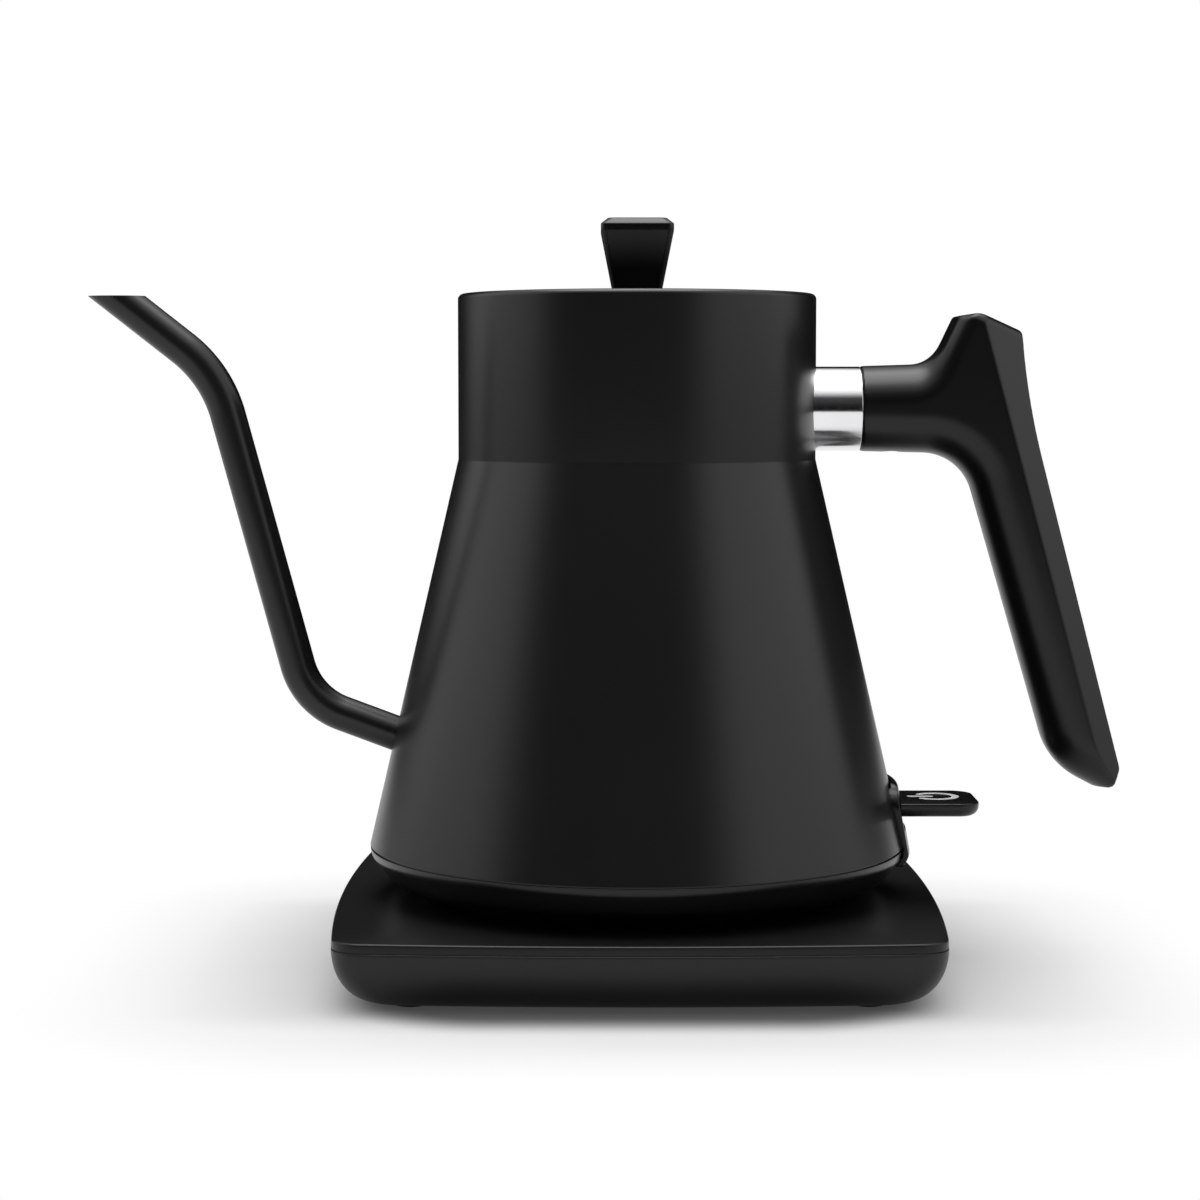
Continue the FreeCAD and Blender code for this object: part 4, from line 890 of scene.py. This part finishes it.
class KETTLE_OT_handle(Operator):
    """Makes the steel collar and the moulded grip"""

    bl_idname = "kettle.handle"
    bl_label = "Handle"

    def execute(self, context):
        sizes = context.scene.kettle_handle
        body = context.scene.kettle_body
        start = body.top_radius - sizes.collar_sink
        profile = [
            (sizes.bore, start),
            (sizes.collar_radius, start),
            (sizes.collar_radius, sizes.collar_end, sizes.collar_edge),
            (sizes.bore, sizes.collar_end),
        ]
        collar = turned("handle_collar_sleeve", profile, "polished_steel")
        turn = Matrix.Translation((0, 0, sizes.axis_height)) @ Matrix.Rotation(math.pi / 2, 4, "Y")
        collar.data.transform(turn)
        ends = [(0, 0, height) for height in (body.shoulder, body.ledge)]
        collar = carve(collar, rod_between("wall", *ends, body.top_radius, body.segments))
        dress(collar, "polished_steel", "kettle", "handle_collar")
        grip = moulded_copy("handle_grip", "handle_moulding", sizes.grain, sizes.easing)
        dress(grip, "black_plastic", "kettle", "handle_grip", crease=SHARP_MOULDED)
        return {"FINISHED"}


class KETTLE_OT_lid(Operator):
    """Makes the flush lid and its knob"""

    bl_idname = "kettle.lid"
    bl_label = "Lid"

    def execute(self, context):
        sizes = context.scene.kettle_lid
        ledge = context.scene.kettle_body.ledge
        rim = sizes.radius
        profile = [(0, ledge), (rim, ledge), (rim, sizes.top, sizes.edge), (0, sizes.top)]
        cover = turned("lid_plate", profile, "satin_black_paint")
        dress(cover, "satin_black_paint", "lid", "lid_cover")
        dress(self.knob(sizes), "black_plastic", "lid", "lid_knob", crease=SHARP_BEVELLED)
        return {"FINISHED"}

    def knob(self, sizes):
        """A square block that widens upwards, bevelled round its top."""
        rings = [
            (sizes.knob_foot, sizes.top),
            (sizes.knob_half, sizes.knob_shoulder),
            (sizes.knob_half, sizes.knob_band),
            (sizes.knob_crown, sizes.knob_top),
        ]
        loops = []
        for half, height in rings:
            loops.append(level([(half, half), (-half, half), (-half, -half), (half, -half)], height))
        knob = stacked("lid_grip", loops)
        with edited(knob) as bm:
            upright = [edge for edge in bm.edges if not is_level(edge)]
            self.bevel(bm, upright, sizes.knob_corner, KNOB_STEPS)
            above = [edge for edge in bm.edges if edge.verts[0].co.z > sizes.top + LEVEL]
            self.bevel(bm, [edge for edge in above if is_level(edge)], sizes.knob_edge, EDGE_STEPS)
        return knob

    def bevel(self, bm, edges, width, steps):
        way = {"offset_type": "OFFSET", "profile": 0.5, "affect": "EDGES"}
        bmesh.ops.bevel(bm, geom=edges, offset=width, segments=steps, **way)


class KETTLE_OT_cover(Operator):
    """Makes the moulded cover under the body"""

    bl_idname = "kettle.cover"
    bl_label = "Bottom cover"

    def execute(self, context):
        sizes = context.scene.kettle_cover
        body = context.scene.kettle_body
        wall = sizes.wall
        seat_low = sizes.bottom - sizes.seat_drop
        seat_inside = sizes.seat - sizes.seat_width
        groove_radius = body.seam_radius - sizes.groove
        groove_low = body.seam - sizes.groove
        profile = [
            (groove_radius, body.seam),
            (groove_radius, groove_low),
            (body.seam_radius, groove_low, sizes.groove_edge),
            (sizes.turn_radius, sizes.turn, sizes.turn_round),
            (sizes.heel_radius, sizes.heel, sizes.heel_round),
            (sizes.seat, sizes.bottom),
            (sizes.seat, seat_low),
            (seat_inside, seat_low),
            (seat_inside, sizes.bottom),
            (sizes.hole, sizes.bottom),
            (sizes.hole, sizes.bottom + wall),
            (sizes.seat, sizes.bottom + wall),
            (sizes.heel_radius - wall / 2, sizes.heel + wall),
            (sizes.turn_radius - wall, sizes.turn + wall / 2),
            (sizes.turn_radius - wall, body.seam),
        ]
        cover = turned("bottom_dish", profile, "black_plastic")
        cover = carve(cover, *screw_sinks("cover_screws", seat_low))
        dress(cover, "black_plastic", "kettle", "bottom_cover")
        return {"FINISHED"}


class KETTLE_OT_switch(Operator):
    """Makes the switch frame, the lever and the sign on it"""

    bl_idname = "kettle.switch"
    bl_label = "Switch"

    def execute(self, context):
        sizes = context.scene.kettle_switch
        bezel = moulded_copy("switch_housing", "switch_frame", sizes.grain, sizes.easing)
        self.seat(bezel, sizes, context.scene.kettle_body)
        dress(bezel, "black_plastic", "kettle", "switch_housing", crease=SHARP_MOULDED)
        dress(self.lever(sizes), "black_plastic", "lever", "switch_lever", crease=SHARP_BEVELLED)
        dress(self.sign(sizes), "white_print", "lever")
        return {"FINISHED"}

    def seat(self, bezel, sizes, body):
        """Lays the back of the frame's sides on the body's wall."""
        slope = (body.seam_radius - body.top_radius) / (body.shoulder - body.seam)
        for vert in bezel.data.vertices:
            wall = body.seam_radius - (vert.co.z - body.seam) * slope
            radius = vert.co.to_2d().length
            beside_slot = vert.co.z > body.seam and abs(vert.co.y) > sizes.slot_far[1]
            if beside_slot and radius < wall + sizes.seat:
                vert.co.xy *= wall / radius

    def lever(self, sizes):
        """A flat tab with round edges on a neck that goes into the body."""
        base = sizes.top - sizes.thickness
        loops = edge_loops(self.tab, sizes, BROAD_STEPS, -sizes.under_round, base)
        loops += reversed(edge_loops(self.tab, sizes, EDGE_STEPS, sizes.top_round, sizes.top))
        near = (sizes.tail, -sizes.neck_half, base)
        neck = box_between("neck", near, (sizes.start, sizes.neck_half, sizes.top))
        return joined(stacked("switch_tab", loops), neck)

    def tab(self, sizes, inset, height):
        half = sizes.half - inset
        tip = sizes.tip - inset
        corner = sizes.corner - inset
        corners = [(sizes.start, -half), (tip, -half, corner), (tip, half, corner), (sizes.start, half)]
        return level(rounded(corners, TAB_STEPS), height)

    def sign(self, sizes):
        """A ring open towards the body, with a bar through the opening."""
        middle = Vector((sizes.sign_middle, sizes.sign_aside))
        arc = []
        for step in range(SIGN_STEPS + 1):
            angle = sizes.sign_gap + (2 * math.pi - 2 * sizes.sign_gap) * step / SIGN_STEPS
            arc.append(middle + polar(math.pi + angle, sizes.sign_radius))
        line = [middle - Vector((end, 0)) for end in (sizes.bar_start, sizes.bar_end)]
        return joined(self.stroke("power_sign", sizes, arc), self.stroke("sign_bar", sizes, line))

    def stroke(self, name, sizes, path):
        """A printed line with round ends along points of the lever's top."""
        sides = []
        for i, point in enumerate(path):
            ahead = path[min(i + 1, len(path) - 1)] - path[max(i - 1, 0)]
            sides.append(Vector((-ahead.y, ahead.x)).normalized() * sizes.sign_stroke / 2)
        outline = []
        for points, normals, sign in ((path, sides, 1), (path[::-1], sides[::-1], -1)):
            outline += [point + sign * side for point, side in zip(points, normals)]
            for step in range(1, ROUND_STEPS):
                turn = Matrix.Rotation(-math.pi * step / ROUND_STEPS, 2)
                outline.append(points[-1] + turn @ (sign * normals[-1]))
        return stacked(name, [level(outline, sizes.top), level(outline, sizes.top + sizes.print_depth)])


class KETTLE_OT_base(Operator):
    """Makes the power base: tray, top plate and feet"""

    bl_idname = "kettle.base"
    bl_label = "Power base"

    def execute(self, context):
        sizes = context.scene.kettle_base
        gland_low, gland_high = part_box("cord_gland")
        height = (gland_low.z + gland_high.z) / 2
        way = [(0, gland_low.y, height), (0, gland_high.y + sizes.half, height)]
        lead_way = rod_between("lead_way", *way, sizes.lead_way)
        tray = carve(self.tray(sizes), *screw_sinks("base_screws", 0), lead_way)
        dress(tray, "base_plastic", "base", "base_housing")
        dress(self.plate(sizes), "base_top_gloss", "base", "base_top_plate")
        dress(self.feet(sizes), "foot_rubber", "base", "base_feet")
        return {"FINISHED"}

    def outline(self, sizes, inset, height):
        return level(bowed_square(sizes.half - inset, sizes.bow, sizes.corner), height)

    def tray(self, sizes):
        """Loops from the seam down a quarter ellipse to the underside."""
        loops = edge_loops(self.outline, sizes, EDGE_STEPS, sizes.seam_edge, sizes.seam)
        drop = sizes.seam - sizes.bottom
        for step in range(1, SIDE_STEPS + 1):
            turn = math.pi / 2 * step / SIDE_STEPS
            height = sizes.seam - drop * math.sin(turn)
            if height < sizes.seam - sizes.seam_edge:
                loops.append(self.outline(sizes, sizes.tuck * (1 - math.cos(turn)), height))
        return stacked("base_tray", loops)

    def plate(self, sizes):
        """A flat plate with rounded edges and a hole for the connector."""
        inset = sizes.plate_inset
        loops = edge_loops(self.outline, sizes, BROAD_STEPS, sizes.plate_edge, sizes.top, inset)
        lower = edge_loops(self.outline, sizes, EDGE_STEPS, -sizes.seam_edge, sizes.seam, inset)
        loops += reversed(lower)
        rim = [point.to_2d().normalized() * sizes.mouth for point in loops[0]]
        loops += [level(rim, height) for height in (sizes.seam, sizes.top)]
        return stacked("base_plate", loops, closed=True)

    def feet(self, sizes):
        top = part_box("base_feet")[1].z
        radius = sizes.foot_radius
        profile = [(0, 0), (radius, 0, sizes.foot_edge), (radius, top), (0, top)]
        foot = turned("foot", profile, "foot_rubber", FOOT_STEPS)
        feet = grown(
            "rubber_feet",
            feet_tree(),
            Foot=foot,
            Across=2 * sizes.foot_x,
            Along=2 * sizes.foot_y,
            Finish=bpy.data.materials["foot_rubber"],
        )
        bpy.data.objects.remove(foot)
        return feet


# Stage

FLOOR = {"radius": 1.1, "segments": 96}
# The painted contact shadow's core ends this far inside the base's foot, at the sides and along
CORE_INSET = (29 * MM, 20 * MM)
# Shadow painted into the floor's colour, and the share of its white glow: the share left at the base,
# where it fades, how it stretches both ways
PAINTED_CONTACT_SHADE = (0.18, 26 * MM, 47 * MM, 1.15, 1)
PAINTED_WIDE_SHADE = (0.84, 12 * MM, 60 * MM, 1, 2.2)
# Painted light: a faint glow lifts the shadow at the base, and the glow grows to white away from it
WHITE_GLOW_SHARE = (0.05, 40 * MM, 95 * MM, 1, 1.3)
DOME_RADIUS = 3.0
DOME_STEPS = {"u_segments": 64, "v_segments": 32}
# The dome's light above, and as shares of it at the sides, in front and on all that isn't gloss
BRIGHTEST = 5.0
SOFT, FAINT, FILL = 1.24 / BRIGHTEST, 0.05 / BRIGHTEST, 0.9 / BRIGHTEST
# Where these begin and are full, as shares of the radius
BRIGHT_RISE = (0.82, 0.95)
SOFT_RISE = (0.5, 0.85)
FAINT_RISE = (0, 0.5)
FAINT_FRONT = (0, 0.8)
SIDE_RISE = (-0.16, 0.32)
# Heading and half width of the lights at the sides, and of their soft edges, in degrees
SIDE_LIGHTS = ((-97, 34), (79, 39))
SIDE_EDGE = 14
LAMP_SPOT = (0, 0, 1.25)
LAMP_SIZE = (0.9, 0.8)
LAMP_RADIANCE = 1.2
CAMERA_SPOT = (-0.009816, -0.7358, 0.1532)
# The camera's angle from straight down in degrees, its lens and sensor in millimetres
CAMERA_TILT = 85.588
LENS = 82.685
SENSOR = 36


class KETTLE_OT_stage(Operator):
    """Makes the floor, the light and the camera"""

    bl_idname = "kettle.stage"
    bl_label = "Stage"

    def execute(self, context):
        scene = context.scene
        scene.view_settings.view_transform = "Standard"
        self.floor(scene)
        self.world(scene)
        self.dome()
        self.lamp(scene)
        self.camera(scene)
        return {"FINISHED"}

    def floor(self, scene):
        """A round pale floor that keeps the shadow, with more shadow painted into its colour round the
        base; it glows white away from the kettle.
        """
        bm = bmesh.new()
        bmesh.ops.create_circle(bm, cap_ends=True, **FLOOR)
        paint = new_paint("studio_floor")
        half = scene.kettle_base.half - scene.kettle_base.tuck
        core = [half - inset for inset in CORE_INSET]
        # Painted shadow: the floor's colour is darkened round the base's foot, on top of the real
        # shadow
        painted_shade = self.fade(paint, core, *PAINTED_CONTACT_SHADE) * self.fade(paint, (half, half), *PAINTED_WIDE_SHADE)
        colour = paint.blend(painted_shade, (0, 0, 0), scene.kettle_finishes.floor)
        lit = paint.surface(Base_Color=colour, Roughness=1.0, Specular_IOR_Level=0.0)
        # Painted glow, seen by the camera, in gloss and through glass: faint by the base, white away
        # from it
        share = self.fade(paint, (half, half), *WHITE_GLOW_SHARE) * self.seen(paint)
        self.set_up("floor", bm, paint, lit, self.glow(paint, 1.0), share)

    def fade(self, paint, halves, least, start, end, *stretches):
        """Goes from the least share at a rectangle on the floor to 1 away from it."""
        squares = []
        for axis, half, stretch in zip(paint.axes(), halves, stretches):
            past = paint.maths("MAXIMUM", paint.maths("ABSOLUTE", axis) - half, 0)
            squares.append(past * past * stretch**2)
        away = paint.maths("SQRT", squares[0] + squares[1])
        return least + (1 - least) * paint.ramp(away, start, end)

    def seen(self, paint):
        """1 for rays from the camera, in mirrors and through glass, otherwise 0."""
        rays = ("Is Camera Ray", "Is Glossy Ray", "Is Transmission Ray")
        camera, glossy, through = (paint.add("ShaderNodeLightPath", output=ray) for ray in rays)
        return paint.maths("MAXIMUM", paint.maths("MAXIMUM", camera, glossy), through)

    def glow(self, paint, strength):
        return paint.add("ShaderNodeEmission", {"Strength": strength})

    def world(self, scene):
        """White behind everything that the camera sees."""
        scene.world = bpy.data.worlds.new("studio")
        paint = Paint(scene.world)
        light = paint.add("ShaderNodeBackground", {"Color": (1, 1, 1, 1)})
        paint.feed(paint.tree.nodes["World Output"].inputs["Surface"], light)

    def dome(self):
        """A dome that lights evenly; in gloss it is bright above and at both sides only."""
        bm = bmesh.new()
        bmesh.ops.create_uvsphere(bm, radius=DOME_RADIUS, **DOME_STEPS)
        paint = new_paint("studio_dome")
        x, y, z = paint.axes()

        def rise(value, ends):
            return paint.ramp(value, *(DOME_RADIUS * end for end in ends))

        heading = paint.maths("ARCTAN2", x, 0 - y)
        light = FAINT * rise(z, FAINT_RISE) * rise(0 - y, FAINT_FRONT)
        light = light + SOFT * rise(z, SOFT_RISE) + (1 - SOFT) * rise(z, BRIGHT_RISE)
        for middle, half in SIDE_LIGHTS:
            off = paint.maths("ABSOLUTE", heading - math.radians(middle))
            side = paint.ramp(off, math.radians(half + SIDE_EDGE), math.radians(half - SIDE_EDGE))
            light = paint.maths("MAXIMUM", light, SOFT * side * rise(z, SIDE_RISE))
        share = FILL + (light - FILL) * paint.add("ShaderNodeLightPath", output="Is Glossy Ray")
        dark, bright = (self.glow(paint, strength) for strength in (0.0, BRIGHTEST))
        self.set_up("studio_dome", bm, paint, dark, bright, share).visible_camera = False

    def set_up(self, name, bm, paint, first, second, share):
        """Adds a stage piece whose surface is mixed from two shaders."""
        both = paint.add("ShaderNodeMixShader", {0: share, 1: first, 2: second})
        paint.feed(paint.tree.nodes["Material Output"].inputs["Surface"], both)
        paint.block.cycles.emission_sampling = "NONE"
        mesh = bpy.data.meshes.new(name)
        bm.to_mesh(mesh)
        bm.free()
        mesh.materials.append(paint.block)
        thing = new_object(name, mesh)
        thing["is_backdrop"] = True
        return thing

    def lamp(self, scene):
        """One wide lamp above the kettle."""
        light = bpy.data.lights.new("top_light", "AREA")
        light.shape = "RECTANGLE"
        light.size, light.size_y = LAMP_SIZE
        light.energy = LAMP_RADIANCE * math.pi * math.prod(LAMP_SIZE)
        lamp = bpy.data.objects.new("top_light", light)
        lamp.location = LAMP_SPOT
        scene.collection.objects.link(lamp)

    def camera(self, scene):
        """Set from the photograph's lines: a long lens a little above the kettle's middle."""
        data = bpy.data.cameras.new("camera")
        data.lens = LENS
        data.sensor_width = SENSOR
        camera = bpy.data.objects.new("camera", data)
        camera.location = CAMERA_SPOT
        camera.rotation_euler = (math.radians(CAMERA_TILT), 0, 0)
        scene.collection.objects.link(camera)
        scene.camera = camera


class KETTLE_PT_panel(Panel):
    """Lists the kettle's pieces"""

    bl_idname = "KETTLE_PT_panel"
    bl_label = "Kettle"
    bl_space_type = "VIEW_3D"
    bl_region_type = "UI"
    bl_category = "Kettle"

    def draw(self, context):
        for operator in OPERATORS:
            self.layout.operator(operator.bl_idname)


GROUPS = {
    "kettle_body": BodySizes,
    "kettle_spout": SpoutSizes,
    "kettle_handle": HandleSizes,
    "kettle_lid": LidSizes,
    "kettle_cover": CoverSizes,
    "kettle_switch": SwitchSizes,
    "kettle_base": BaseSizes,
    "kettle_finishes": Finishes,
}
OPERATORS = (
    KETTLE_OT_finishes,
    KETTLE_OT_body,
    KETTLE_OT_spout,
    KETTLE_OT_handle,
    KETTLE_OT_lid,
    KETTLE_OT_cover,
    KETTLE_OT_switch,
    KETTLE_OT_base,
    KETTLE_OT_stage,
)


def register():
    for kind in (*GROUPS.values(), *OPERATORS, KETTLE_PT_panel):
        bpy.utils.register_class(kind)
    for name, group in GROUPS.items():
        setattr(bpy.types.Scene, name, PointerProperty(type=group))


def unregister():
    for name in GROUPS:
        delattr(bpy.types.Scene, name)
    for kind in (KETTLE_PT_panel, *reversed(OPERATORS), *reversed(GROUPS.values())):
        bpy.utils.unregister_class(kind)


def main():
    register()
    for operator in OPERATORS:
        family, name = operator.bl_idname.split(".")
        getattr(getattr(bpy.ops, family), name)()
    boxes = {"cad": cad_box, "visual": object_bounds()}
    {name: [list(corner) for corner in box] for name, box in boxes.items()}


if __name__ == "__main__":
    main()
